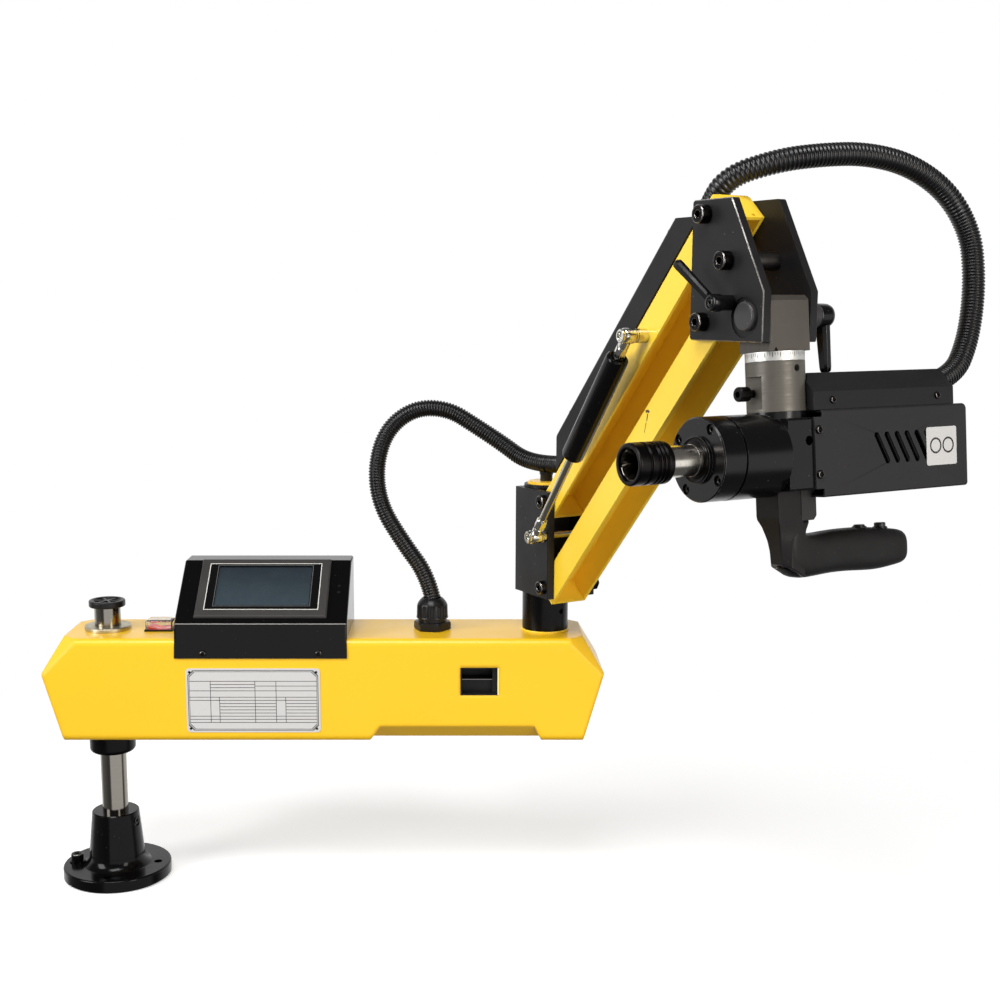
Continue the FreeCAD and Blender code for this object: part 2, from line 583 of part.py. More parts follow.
def channel(open_edge):
    """A folded channel: its back, its sides, and a flap closing each end."""
    body = box(-LINK_END, LINK_L + LINK_TIP, -LINK_HALF, LINK_HALF, open_edge, LINK_BACK)
    body = soften(body, 4, lambda e: runs_along("x")(e) and middle(e).z > LINK_BACK - 1)
    body = body.cut(box(FLAPS[0][1], FLAPS[1][0], SHEET - LINK_HALF, LINK_HALF - SHEET, open_edge - 1, LINK_BACK - SHEET))
    for s in (0, LINK_L):
        for side in (-1, 1):
            body = body.cut(cyl(PIN_R + RUNNING, (s, side * BORE_END, 0), (s, side * 40, 0)))
    return body


def welded(link):
    """A link as it is put together: two side plates, the back and the two end flaps between them."""
    gap = LINK_HALF - SHEET
    sides = [box(-90, LINK_L + 90, y0, y1, -90, 90) for y0, y1 in ((-LINK_HALF, -gap), (gap, LINK_HALF))]
    back = box(-90, LINK_L + 90, -gap, gap, LINK_BACK - SHEET, LINK_BACK + 1)
    flaps = [box(s0, s1, -gap, gap, -90, LINK_BACK - SHEET) for s0, s1 in FLAPS]
    return group([solid for part in sides + [back] + flaps for solid in link.common(part).Solids])


upper = channel(UPPER_OPEN)
upper = upper.cut(cyl(STRUT_PIN_R, (STRUT_S, -30, 0), (STRUT_S, 0, 0)))
upper = upper.cut(cyl(1.7, (LINK_L, 10.9, -9.3), (LINK_L + 20, 10.9, -9.3)))
lower = channel(LOWER_OPEN)
nodes["upper_link"] = on_link(welded(upper), UPPER_PIVOT_Z)
nodes["lower_link"] = on_link(welded(lower), LOWER_PIVOT_Z)

trough = box(20, LINK_L - 5.4, -LINK_HALF, LINK_HALF, LINK_BACK, LINK_BACK + CABLE_COVER_H)
trough = soften(trough, 4, lambda e: runs_along("x")(e) and middle(e).z > LINK_BACK + 1)
trough = trough.cut(box(0, LINK_L + 20, -LINK_HALF + 2, LINK_HALF - 2, 0, LINK_BACK + CABLE_COVER_H - 2))
for s in (90, LINK_L - 53.4):
    bulkhead = box(s, s + 3, 1 - LINK_HALF, LINK_HALF - 1, LINK_BACK, LINK_BACK + CABLE_COVER_H - 1)
    trough = trough.fuse(bulkhead)
trough = trough.removeSplitter()
trough = on_link(trough, UPPER_PIVOT_Z)
trough = trough.cut(at_post(box(-60, BRACKET_X[1] + 1.2, -60, 60, BRACKET_Z[1] - 16, BRACKET_Z[1] + 160)))
trough = trough.cut(at_post(box(100, BOLT_X + 100, -60, 60, BOLT_Z - 0.24, BOLT_Z + 100)))
nodes["cable_cover"] = trough
stud = strut_stud(STRUT_S, 0, -LINK_HALF + SHEET, -LINK_HALF)
nodes["strut_upper_stud"] = on_link(stud, UPPER_PIVOT_Z)

# ---------------------------------------------------------------- gas strut
top_x, top_z = link_point(STRUT_S, 0, UPPER_PIVOT_Z)
strut_l = math.hypot(top_x - PIVOT_X, top_z - STRUT_PIN_Z)
strut_angle = math.degrees(math.atan2(top_z - STRUT_PIN_Z, top_x - PIVOT_X))


def in_strut(shape):
    """From the strut's frame: X from its lower eye to its upper one."""
    shape = shape.copy()
    shape.rotate(V(0, 0, 0), V(0, 1, 0), -strut_angle)
    shape.translate(V(PIVOT_X, STRUT_Y, STRUT_PIN_Z))
    return at_post(shape)


def eye(x, neck_end):
    ring = cyl(7.2, (x, -EYE_HALF, 0), (x, EYE_HALF, 0))
    neck = cyl(5.3, (x, 0, 0), (neck_end, 0, 0))
    return join([ring, neck]).cut(cyl(STRUT_PIN_R + RUNNING, (x, -30, 0), (x, 30, 0)))


TUBE_FROM = strut_l - 149.5
TUBE_TO = strut_l - 24.4
rod = cyl(STRUT_ROD_R, (25.7, 0, 0), (strut_l - 50, 0, 0))
nodes["strut_rod"] = in_strut(group([eye(0, 25.7), rod]))
body = cyl(STRUT_TUBE_R, (TUBE_FROM, 0, 0), (TUBE_TO, 0, 0))
body = soften(body, 1.5, lambda e: e.Closed)
body = body.cut(cyl(STRUT_BORE_R, (TUBE_FROM - 1, 0, 0), (strut_l - 28, 0, 0)))
nodes["strut_tube"] = in_strut(group([eye(strut_l, TUBE_TO), body]))

# ---------------------------------------------------------------- head bracket
corner = [(PLATE_LEFT, PLATE_Z0), (PLATE_LEFT, PLATE_Z1), (PLATE_RIGHT - 43.7, PLATE_Z1),
          (PLATE_RIGHT, PLATE_Z1 - 77.3), (PLATE_RIGHT, PLATE_Z0)]
link_ends = [link_point(LINK_L, 0, UPPER_PIVOT_Z), link_point(LINK_L, 0, LOWER_PIVOT_Z)]


def head_plate(side):
    y0, y1 = sorted((side * FORK_HALF, side * fork_outer))
    body = prism(corner, "xz", y0, y1)
    quarter = box(HEAD_PIN[0], PLATE_RIGHT + 20, -40, 40, PLATE_Z0 - 20, HEAD_PIN[1])
    quarter = quarter.cut(cyl(PLATE_CORNER_R, (HEAD_PIN[0], -50, HEAD_PIN[1]), (HEAD_PIN[0], 50, HEAD_PIN[1])))
    body = body.cut(quarter)
    body = soften(body, 3, lambda e: runs_along("y")(e) and middle(e).x < PLATE_RIGHT - 42.5)
    body = bevel(body, 0.8, lambda e: abs(middle(e).y - side * fork_outer) < 0.01)
    for x, z in link_ends + [SPACER]:
        body = body.cut(cyl(PIN_R, (x, -40, z), (x, 40, z)))
    return body.cut(cyl(HEAD_PIN_R, (HEAD_PIN[0], -40, HEAD_PIN[1]), (HEAD_PIN[0], 40, HEAD_PIN[1])))


near = head_plate(-1)
pin_recess = cyl(17, (HEAD_PIN[0] - 1.5, -40, HEAD_PIN[1] - 1), (HEAD_PIN[0] - 1.5, 1.5 - fork_outer, HEAD_PIN[1] - 1))
near = near.cut(pin_recess)
near = near.cut(cyl(STRUT_PIN_R, (LEVER[0], -40, LEVER[1]), (LEVER[0], 0, LEVER[1])))
nodes["near_plate"] = at_post(near)
nodes["far_plate"] = at_post(head_plate(1))
spacer_bolt = socket_screw(PIN_R, 8, 10, (SPACER[0], -fork_outer, SPACER[1]), (0, -1, 0), 2 * fork_outer)
spacer_bolt = spacer_bolt.fuse(hexagon_head(*SPACER, 8.5)).removeSplitter()
head_bolts = [solid for x, z in link_ends for solid in pivot_bolts(x, z, 8, 10)]
nodes["head_bolts"] = at_post(group(head_bolts + [spacer_bolt]))
nodes["cross_spacer"] = at_post(tube(8, PIN_R, (SPACER[0], -FORK_HALF, SPACER[1]), (SPACER[0], FORK_HALF, SPACER[1])))
PIN_HEAD = fork_outer - 1.5
REAR_HUB = (45.0, 62.0)
pin_parts = [
    cyl(HEAD_PIN_R, (0, -PIN_HEAD, 0), (0, fork_outer, 0)),
    bevel(cyl(12, (0, -PIN_HEAD - 4.5, 0), (0, -PIN_HEAD, 0)), 1, lambda e: e.Closed and middle(e).y < -PIN_HEAD - 4),
    cyl(10.5, (0, fork_outer, 0), (0, REAR_HUB[0], 0)),
    cyl(PIN_R, (0, REAR_HUB[0], 0), (0, REAR_HUB[1] - 3, 0)),
]
pin = join(pin_parts)
pin.translate(V(HEAD_PIN[0], 0, HEAD_PIN[1]))
nodes["tilt_pin"] = at_post(pin)


def taper(start, end, r0, r1):
    along = V(*end) - V(*start)
    cone = Part.makeCone(r0, r1, along.Length, V(*start), along)
    return cone.fuse(Part.makeSphere(r1, V(*end)))


hub = cyl(7.5, (0, -fork_outer, 0), (0, -52, 0))
hub = bevel(hub, 1, lambda e: e.Closed and middle(e).y < -51)
handle = taper((0, -47, 0), (-42, -55.5, 34.5), 4.4, 5.4)
front_lever = join([hub, handle]).cut(cyl(3, (0, -60, 0), (0, -50.5, 0)).cut(cyl(1.6, (0, -51.5, 0), (0, -40, 0))))
front_lever = front_lever.fuse(cyl(STRUT_PIN_R - RUNNING, (0, -fork_outer, 0), (0, -FORK_HALF - 0.2, 0)))
front_lever.translate(V(LEVER[0], 0, LEVER[1]))
nodes["front_lever"] = at_post(front_lever.removeSplitter())
hub = bevel(cyl(10.5, (0, REAR_HUB[0] + 0.1, 0), (0, REAR_HUB[1], 0)), 1.5, lambda e: e.Closed and middle(e).y > 61)
handle = taper((0, 54, 0), (2, 58, -38.5), 5.2, 5.6)
rear_lever = join([hub, handle]).cut(cyl(PIN_R + RUNNING, (0, 40, 0), (0, REAR_HUB[1] - 3, 0)))
rear_lever.translate(V(HEAD_PIN[0], 0, HEAD_PIN[1]))
nodes["rear_lever"] = at_post(rear_lever)

# ---------------------------------------------------------------- tilt block
block = box(*BLOCK_V, -BLOCK_U, BLOCK_U, *BLOCK_W)
block = bevel(block, 5, lambda e: runs_along("y")(e) and middle(e).z > 15)
block = bevel(block, 1, lambda e: runs_along("z")(e))
block = block.cut(cyl(HEAD_PIN_R + RUNNING, (0, -40, 0), (0, 40, 0)))
notch = prism([(-19.5, -31), (-16, -26.5), (-12.5, -31)], "yz", 17, 30)
stud_end = SWIVEL_W1 + 5
swivel_stud = cyl(STUD_R, (0, 0, stud_end), (0, 0, BLOCK_W[0]))
nodes["tilt_block"] = on_head(join([block.cut(notch), swivel_stud]))
nodes["graduated_ring"] = on_head(tube(COLLAR_R, STUD_R, (0, 0, BLOCK_W[0] - RING_T), (0, 0, BLOCK_W[0])))

# ---------------------------------------------------------------- head
collar = tube(COLLAR_R, STUD_R + RUNNING, (0, 0, SWIVEL_W1), (0, 0, SWIVEL_W0))
recess = box(-30, 9, -30, -19.5, -77, -50)
collar = collar.cut(recess)
SIDE_HOLE_W = -44.4
SIDE_HOLE = (math.cos(math.radians(5)), math.sin(math.radians(5)))
collar = collar.cut(cyl(3, (15 * SIDE_HOLE[0], 15 * SIDE_HOLE[1], SIDE_HOLE_W), (27 * SIDE_HOLE[0], 27 * SIDE_HOLE[1], SIDE_HOLE_W)))
nodes["swivel_collar"] = on_head(collar)
LOCK_W = -63.8
lock = join([
    cyl(3.5, (-6, -19.5, LOCK_W), (-6, -25, LOCK_W)),
    bevel(cyl(6.2, (-6, -25, LOCK_W), (-6, -36, LOCK_W)), 0.8, lambda e: e.Closed),
])
for k in range(18):
    flute = cyl(0.55, (6.3, -37, 0), (6.3, -24, 0))
    flute.rotate(V(0, 0, 0), V(0, 1, 0), 20 * k)
    flute.translate(V(-6, 0, LOCK_W))
    lock = lock.cut(flute)
lock = lock.cut(cyl(2.8, (-6, -50, LOCK_W), (-6, -32, LOCK_W)))
nodes["lock_screw"] = on_head(lock)

drum = cyl(HOUSING_R, (0, FLANGE_U[1], SPINDLE_W), (0, GEAR_U[0], SPINDLE_W))
gear = box(-GEAR_HALF, GEAR_HALF, *GEAR_U, SPINDLE_W - GEAR_HALF, SPINDLE_W + GEAR_HALF)
gear = bevel(gear, 2, runs_along("y"))
saddle = cyl(COLLAR_R, (0, 0, SPINDLE_W), (0, 0, SWIVEL_W1))
saddle = saddle.common(box(-30, 30, -30, GEAR_U[1], SPINDLE_W, SWIVEL_W1))
housing = join([drum, gear, saddle])
housing = housing.cut(cyl(4, (10, 7.8, -104.5), (40, 7.8, -104.5)))
nodes["gear_housing"] = on_head(housing)

flange = join([
    cyl(34.9, (0, FLANGE_U[0], SPINDLE_W), (0, FLANGE_U[1] - 2, SPINDLE_W)),
    cyl(33.2, (0, FLANGE_U[1] - 2, SPINDLE_W), (0, FLANGE_U[1], SPINDLE_W)),
    cyl(19.6, (0, FLANGE_U[0] - 3, SPINDLE_W), (0, FLANGE_U[0], SPINDLE_W)),
])
flange = bevel(flange, 1, lambda e: e.Closed and abs(middle(e).y - FLANGE_U[0]) < 0.1 and e.Length > 200)
spindle_back = FLANGE_U[1] - 2
flange = flange.cut(cyl(SPINDLE_R + RUNNING, (0, FLANGE_U[0] - 9, SPINDLE_W), (0, spindle_back, SPINDLE_W)))
FLANGE_PCD = 59.0
screw_spots = []
for angle in (55, 145, -125, -35):
    x = FLANGE_PCD / 2 * math.cos(math.radians(angle))
    z = SPINDLE_W + FLANGE_PCD / 2 * math.sin(math.radians(angle))
    screw_spots.append((x, z))
    flange = flange.cut(cyl(4.6, (x, FLANGE_U[0] - 5, z), (x, FLANGE_U[0] + 6, z)))
nodes["front_flange"] = on_head(flange)
head_screws = [
    socket_screw(2, 4.2, 4.5, (x, FLANGE_U[0] + 6, z), (0, -1, 0), 0) for x, z in screw_spots
]
spindle = cyl(SPINDLE_R, (0, SPINDLE_NOSE, SPINDLE_W), (0, spindle_back - 0.5, SPINDLE_W))
CHUCK_BODY_END = CHUCK_NOSE + 2.8
chuck = cyl(SPINDLE_R, (0, CHUCK_BODY_END, SPINDLE_W), (0, SPINDLE_NOSE, SPINDLE_W))
chuck = chuck.cut(cyl(TAP_BORE_R, (0, CHUCK_BODY_END - 1, SPINDLE_W), (0, SPINDLE_NOSE - 3, SPINDLE_W)))
nodes["spindle"] = on_head(join([spindle, chuck]))
sleeve = cyl(SLEEVE_R, (0, CHUCK_NOSE, SPINDLE_W), (0, SPINDLE_NOSE, SPINDLE_W))
sleeve = bevel(sleeve, 1, lambda e: e.Closed)
for u in (-127, -131, -135, -143):
    sleeve = sleeve.cut(tube(SLEEVE_R + 1, SLEEVE_R - 0.9, (0, u, SPINDLE_W), (0, u + 1.6, SPINDLE_W)))
sleeve_bore = cyl(SPINDLE_R + 0.1, (0, CHUCK_NOSE - 1, SPINDLE_W), (0, SPINDLE_NOSE + 1, SPINDLE_W))
nodes["chuck_sleeve"] = on_head(sleeve.cut(sleeve_bore))

# ---------------------------------------------------------------- motor and its covers
motor = join([
    box(-GEAR_HALF, GEAR_HALF, MOTOR_U[0], MOTOR_U[0] + 9, SPINDLE_W - GEAR_HALF, SPINDLE_W + GEAR_HALF),
    box(-27, 27, MOTOR_U[0] + 9, 140, SPINDLE_W - 27, SPINDLE_W + 27),
    box(-22, 22, 140, 160, SPINDLE_W - 22, SPINDLE_W + 22),
])
nodes["servo_motor"] = on_head(motor)
MOTOR_SHEET = MOTOR_HALF - GEAR_HALF
case = box(-MOTOR_HALF, MOTOR_HALF, 21, MOTOR_U[1], *MOTOR_W)
case = soften(case, 5, lambda e: runs_along("x")(e) and middle(e).y > 100 and middle(e).z > SPINDLE_W)
case = soften(case, 3, lambda e: runs_along("x")(e) and middle(e).y > 100 and middle(e).z < SPINDLE_W)
case = soften(case, 2, lambda e: runs_along("y")(e))
hollow = box(-GEAR_HALF, GEAR_HALF, 0, MOTOR_U[1] - MOTOR_SHEET, MOTOR_W[0] + MOTOR_SHEET, MOTOR_W[1] - MOTOR_SHEET)
case = case.cut(hollow)
tabs = []
for side in (-1, 1):
    x0, x1 = sorted((side * GEAR_HALF, side * MOTOR_HALF))
    tabs.append(box(x0, x1, MOTOR_U[0] - 2.6, 21.5, -145, -85.4))
case = join([case] + tabs)
SLOT_LEAN = (14.6, 27.0)
for k in range(6):
    u = 80.2 + 11.7 * k
    slot = prism([(u - 3, -101), (u + 3, -101), (u + 3 + SLOT_LEAN[0], -101 - SLOT_LEAN[1]),
                  (u - 3 + SLOT_LEAN[0], -101 - SLOT_LEAN[1])], "yz", -40, 40)
    case = case.cut(soften(slot, 2.3, runs_along("x")))
nodes["motor_cover"] = on_head(case)
head_screws += [
    socket_screw(2, 3.6, 2, (side * MOTOR_HALF, 16.5, w), (side, 0, 0), 0) for side in (-1, 1) for w in (-96, -133)
]

HAT_OUTLINE = [(-30, MOTOR_W[1]), (-30, -64.5), (-15, -48.4), (15, -48.4), (30, -64.5), (30, MOTOR_W[1])]
HAT_INNER = [(-28.5, -85), (-28.5, -65.1), (-14.4, -49.9), (14.4, -49.9), (28.5, -65.1), (28.5, -85)]
hat = prism(HAT_OUTLINE, "xz", *HAT_U)
hat = hat.cut(prism(HAT_INNER, "xz", HAT_U[0] + COVER_SHEET, HAT_U[1] - COVER_SHEET))
hat = hat.cut(cyl(COLLAR_R + 1, (0, 0, -100), (0, 0, 0)))
CABLE_W = -62.0
hat = hat.cut(cyl(7, (0, 170, CABLE_W), (0, 190, CABLE_W)))
nodes["cable_box"] = on_head(hat)
head_screws += [
    socket_screw(2, 3, 1.8, (side * 30, u, -72), (side, 0, 0), 0) for side in (-1, 1) for u in (34.6, 155.8)
]
boot = tube(13.4, CONDUIT_2_R, (0, HAT_U[1], CABLE_W), (0, HAT_U[1] + 7, CABLE_W))
nodes["cable_boot"] = on_head(boot)

# ---------------------------------------------------------------- handle
GEAR_BOTTOM = SPINDLE_W - GEAR_HALF
stem = prism([(-14, GEAR_BOTTOM), (-14, -166), (-7, -181), (-2, -196), (-1.5, -208), (11.5, -221), (40, -221),
              (40, -181), (27, -170), (27, MOTOR_W[0]), (21, MOTOR_W[0]), (21, GEAR_BOTTOM)], "yz", -15, 15)
stem = soften(stem, 2.5, lambda e: abs(middle(e).x) > 14.9 and middle(e).z < -160)
nodes["handle_stem"] = on_head(stem)
grip = box(-GRIP_HALF_V, GRIP_HALF_V, 40, GRIP_END, GRIP_W - GRIP_HALF_H, GRIP_W + GRIP_HALF_H)
grip = soften(grip, 11, runs_along("y"))
grip = soften(grip, 7, lambda e: middle(e).y > GRIP_END - 1)
TOP_OF_GRIP = GRIP_W + GRIP_HALF_H
BUTTON_R = 5.0
for u in BUTTONS_U:
    grip = grip.cut(cyl(BUTTON_R + 0.3, (0, u, TOP_OF_GRIP - 9), (0, u, TOP_OF_GRIP + 5)))
nodes["grip"] = on_head(grip)
for k, u in enumerate(BUTTONS_U):
    button = cyl(BUTTON_R, (0, u, TOP_OF_GRIP - 5), (0, u, TOP_OF_GRIP + 1.6))
    button = soften(button, 1.2, lambda e: e.Closed and middle(e).z > TOP_OF_GRIP)
    nodes["button_%d" % (k + 1)] = on_head(button)
end_normal = V(0, -1, -1).normalize()
stem_plug = Part.makeCylinder(5, 1.6, V(0, 5, -214.5), end_normal)
stem_slot = box(-6, 6, -0.7, 0.7, 0, 0.8)
stem_slot.rotate(V(0, 0, 0), V(1, 0, 0), 135)
stem_slot.translate(V(0, 5, -214.5) + end_normal * 1.65)
head_screws.append(stem_plug.cut(stem_slot))
nodes["head_screws"] = on_head(group(head_screws))

# ---------------------------------------------------------------- conduits
nodes["conduit_1_lower"] = conduit(CONDUIT_1_LOWER, CONDUIT_1_R, "conduit_1_lower")
nodes["conduit_1_upper"] = at_post(conduit(CONDUIT_1_UPPER, CONDUIT_1_R, "conduit_1_upper"))
nodes["conduit_2_lower"] = at_post(conduit(CONDUIT_2_LOWER, CONDUIT_2_R, "conduit_2_lower"))
nodes["conduit_2_middle"] = at_post(conduit(CONDUIT_2_MIDDLE, CONDUIT_2_R, "conduit_2_middle"))
nodes["conduit_2_upper"] = at_post(conduit(CONDUIT_2_UPPER, CONDUIT_2_R, "conduit_2_upper"))

for name, shape in nodes.items():
    bad = [s for s in shape.Solids if not s.isValid() or s.Volume <= 0]
    print(name, "solids", len(shape.Solids), "volume", round(shape.Volume), "BAD" if bad or not shape.Solids else "")
    shape.exportStep("parts/%s.step" % name)
print(len(nodes), "nodes")
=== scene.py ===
from math import atan2, copysign, cos, degrees, hypot, pi, radians, sin, tanh

import bmesh
import bpy
from mathutils import Matrix, Vector


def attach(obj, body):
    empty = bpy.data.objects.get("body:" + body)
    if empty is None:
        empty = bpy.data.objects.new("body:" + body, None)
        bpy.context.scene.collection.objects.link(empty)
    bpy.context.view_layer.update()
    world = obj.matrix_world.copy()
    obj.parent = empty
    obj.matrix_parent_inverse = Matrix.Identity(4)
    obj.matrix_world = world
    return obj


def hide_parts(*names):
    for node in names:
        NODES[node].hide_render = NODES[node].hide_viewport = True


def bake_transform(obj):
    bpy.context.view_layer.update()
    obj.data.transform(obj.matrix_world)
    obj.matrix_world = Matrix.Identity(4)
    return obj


# Arm tapping machine. Pieces are drawn in millimetres in the frames of the part's source
# and placed in metres.

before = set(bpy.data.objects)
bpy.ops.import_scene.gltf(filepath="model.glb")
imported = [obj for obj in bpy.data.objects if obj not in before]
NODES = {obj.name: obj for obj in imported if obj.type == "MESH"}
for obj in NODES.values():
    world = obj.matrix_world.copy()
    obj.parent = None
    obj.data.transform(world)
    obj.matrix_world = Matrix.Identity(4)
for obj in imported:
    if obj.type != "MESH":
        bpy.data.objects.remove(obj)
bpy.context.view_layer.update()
MM = 0.001
MICRON = 0.000001


def assign(thing, **values):
    for key, value in values.items():
        setattr(thing, key, value)
    return thing


def new_object(name, data):
    obj = bpy.data.objects.new(name, data)
    bpy.context.scene.collection.objects.link(obj)
    return obj


# ---- frames
def turn(angle, axis):
    """A turn in degrees."""
    return Matrix.Rotation(radians(angle), 4, axis)


def shift(x, y, z):
    """A move in millimetres."""
    return Matrix.Translation((x * MM, y * MM, z * MM))


def polar(radius, angle):
    return radius * cos(angle), radius * sin(angle)


ARM_L = 474.8              # from the base's column to the post
ELBOW = -61.07             # the post's turn in the photo, in degrees
PIVOT_X = 42.6             # the links' lower pivots, in the post's frame
UPPER_Z = 426.3
LOWER_Z = 336.0
LINK_L = 375.4             # between a link's pivots
LIFT = 47.65               # the links' rise in the photo, in degrees
FORK_OUTER = 29.5          # half widths
LINK_HALF = 21
STRUT_FOOT_Z = 390.6
STRUT_AT = 234.7           # the strut's upper pivot, along the upper link
STRUT_Y = -40.5
BOLT = (295.4911, 0, 703.7369)     # the upper link's upper pivot
HEAD_PIN = (350.501, 0, 618.697)   # the head's tilt pin
HEAD_LEAN = -5.96
SPINDLE_W = -115.4         # height of the spindle's axis in the head's frame
SLOPE_FOOT = (0, -49.9, 296.6)   # control box: where its screen slope starts
SLOPE_RISE, SLOPE_RUN = 54.4, 74.0

WORLD = Matrix.Identity(4)
POST = shift(ARM_L, 0, 0) @ turn(ELBOW, "Z")
UPPER_LINK = POST @ shift(PIVOT_X, 0, UPPER_Z) @ turn(-LIFT, "Y")
AT_BOLT = POST @ shift(*BOLT)
HEAD = POST @ shift(*HEAD_PIN) @ turn(HEAD_LEAN, "Y")
SLOPE = shift(*SLOPE_FOOT) @ turn(degrees(atan2(SLOPE_RISE, SLOPE_RUN)), "X")


def link_point(s, pivot_z):
    run, rise = polar(s, radians(LIFT))
    return PIVOT_X + run, pivot_z + rise


STRUT_X, STRUT_Z = link_point(STRUT_AT, UPPER_Z - STRUT_FOOT_Z)
STRUT_L = hypot(STRUT_X - PIVOT_X, STRUT_Z)
STRUT = POST @ shift(PIVOT_X, STRUT_Y, STRUT_FOOT_Z) @ turn(-degrees(atan2(STRUT_Z, STRUT_X - PIVOT_X)), "Y")


# ---- materials
def rgb(*shown):
    """A colour as the screen shows it, as a linear one."""
    return *(((c / 255 + 0.055) / 1.055) ** 2.4 if c > 10 else c / 255 / 12.92 for c in shown), 1.0


def scaled(colour, k):
    return *(min(1, c * k) for c in colour[:3]), 1.0


class Nodes:
    """A node tree that is made a call at a time. Inputs take a value or another node's output."""

    def __init__(self, tree):
        self.tree = tree

    def feed(self, node, inputs):
        for key, value in inputs.items():
            if isinstance(value, bpy.types.NodeSocket):
                self.tree.links.new(value, node.inputs[key])
            else:
                node.inputs[key].default_value = value

    def add(self, kind, inputs=None, **properties):
        """A new node's outputs."""
        node = assign(self.tree.nodes.new(kind), **properties)
        self.feed(node, inputs or {})
        return node.outputs

    def maths(self, operation, a, b=0.0):
        return self.add("ShaderNodeMath", {0: a, 1: b}, operation=operation)[0]

    def between(self, value, low, high, to_low=0.0, to_high=1.0, **properties):
        return self.add("ShaderNodeMapRange", {
            "Value": value, "From Min": low, "From Max": high, "To Min": to_low, "To Max": to_high,
        }, **properties)["Result"]

    def ramp(self, *values):
        return self.between(*values, interpolation_type="SMOOTHSTEP")

    def mix(self, share, a, b):
        return self.add("ShaderNodeMix", {0: share, 6: a, 7: b}, data_type="RGBA")[2]


class Finish(Nodes):
    """One material. Object coordinates, in metres."""

    def __init__(self, name, metallic=0.0, mirror=0.5, coat=(0.0, 0.03), **sockets):
        self.material = assign(bpy.data.materials.new(name), use_nodes=True)
        super().__init__(self.material.node_tree)
        self.surface = self.tree.nodes["Principled BSDF"]
        self.feed(self.surface, {"Metallic": metallic, "Specular IOR Level": mirror, "Coat Weight": coat[0],
                                 "Coat Roughness": coat[1], **sockets})
        self.at = self.add("ShaderNodeTexCoord")["Object"]
        self.relief = {}

    def within(self, place):
        """Takes the coordinates of one of the machine's frames."""
        inverse = place.inverted()
        self.at = self.add("ShaderNodeMapping", {
            "Vector": self.at, "Location": inverse.to_translation(), "Rotation": inverse.to_euler()})[0]

    def noise(self, scale, detail=3.0, at=None, rough=0.55):
        return self.add("ShaderNodeTexNoise", {
            "Vector": at or self.at, "Scale": scale, "Detail": detail, "Roughness": rough})["Fac"]

    def clouded(self, scale, dark, light, detail=3.0):
        return self.mix(self.between(self.noise(scale, detail), 0.3, 0.7), dark, light)

    def specked(self, base, colour, share, scale, size, gate):
        """Scattered dots of colour over base; gate is the part of them that is left out."""
        cell = self.add("ShaderNodeTexVoronoi", {"Vector": self.at, "Scale": scale, "Randomness": 1.0})
        dot = self.between(cell["Distance"], size, size * 0.6)
        pick = self.add("ShaderNodeSeparateColor", {0: cell["Color"]})[0]
        dots = self.maths("MULTIPLY", dot, self.between(pick, gate, gate + 0.02))
        return self.mix(self.maths("MULTIPLY", dots, share), base, colour)

    def bump(self, height, microns):
        self.relief = {"Normal": self.add("ShaderNodeBump", {
            "Height": height, "Distance": microns * MICRON, **self.relief})[0]}

    def finish(self, colour, roughness):
        self.feed(self.surface, {"Base Color": colour, "Roughness": roughness, **self.relief})
        return self.material


def paint(name, shown, rough, peel=30, grain=0, dust=0.15, tint=0.05, round_edges=0.0, **more):
    """Sprayed or powder-coated sheet: orange peel, fine grain, uneven gloss and a little dust.
    Peel and grain are in micrometres, round_edges in metres."""
    f = Finish(name, **more)
    colour = rgb(*shown)
    if round_edges:
        f.relief = {"Normal": f.add("ShaderNodeBevel", {"Radius": round_edges}, samples=6)[0]}
    base = f.clouded(7, scaled(colour, 1 - tint), scaled(colour, 1 + tint))
    base = f.mix(f.between(f.noise(240, 2), 0.35, 0.65, 0, 0.3), base, scaled(colour, 1 + 2 * tint))
    base = f.specked(base, rgb(205, 200, 190), dust, 210, 0.10, 0.8)
    f.bump(f.noise(330, 2), peel)
    if grain:
        f.bump(f.noise(2600, 2), grain)
    return f.finish(base, f.between(f.noise(26, 4), 0.3, 0.7, rough * 0.82, rough * 1.2))


def metal(name, shown, rough, lines, depth=10, place=None, stain=0.12, bare=1.0):
    """Bare or plated metal with tool marks, depth micrometres deep: lines gives how the noise is
    squeezed along each axis, bare how much of the surface is metal."""
    f = Finish(name, metallic=bare)
    colour = rgb(*shown)
    if place:
        f.within(place)
    squeezed = f.add("ShaderNodeMapping", {"Vector": f.at, "Scale": lines})[0]
    marks = f.noise(1.0, 3, squeezed, 0.7)
    cloud = f.noise(22, 4)
    base = f.mix(f.between(cloud, 0.3, 0.7), scaled(colour, 1 - stain), scaled(colour, 1 + stain * 0.6))
    base = f.mix(f.between(marks, 0.35, 0.7, 0, 0.35), base, scaled(colour, 0.72))
    base = f.specked(base, scaled(colour, 0.35), 0.4, 160, 0.09, 0.86)
    f.bump(marks, depth)
    return f.finish(base, f.maths("ADD", f.between(marks, 0.3, 0.7, rough * 0.75, rough * 1.3),
                                  f.between(cloud, 0.4, 0.8, 0, rough * 0.3)))


def worn_and_highlit_edge(name, shown, rough, bare, share):
    """The rounded edges of a dark finish, where the metal shines through in places; given a lighter shown
    colour, they also carry a painted highlight.
    """
    f = Finish(name)
    patch = f.between(f.noise(95, 4), 0.62 - share * 0.35, 0.70 - share * 0.2)
    wear = f.maths("MULTIPLY", patch, f.between(f.noise(900, 2), 0.25, 0.6))
    f.feed(f.surface, {"Metallic": wear})
    f.bump(f.noise(1400, 2), 10)
    return f.finish(f.mix(wear, rgb(*shown), rgb(*bare)), f.between(wear, 0, 1, rough, 0.28))


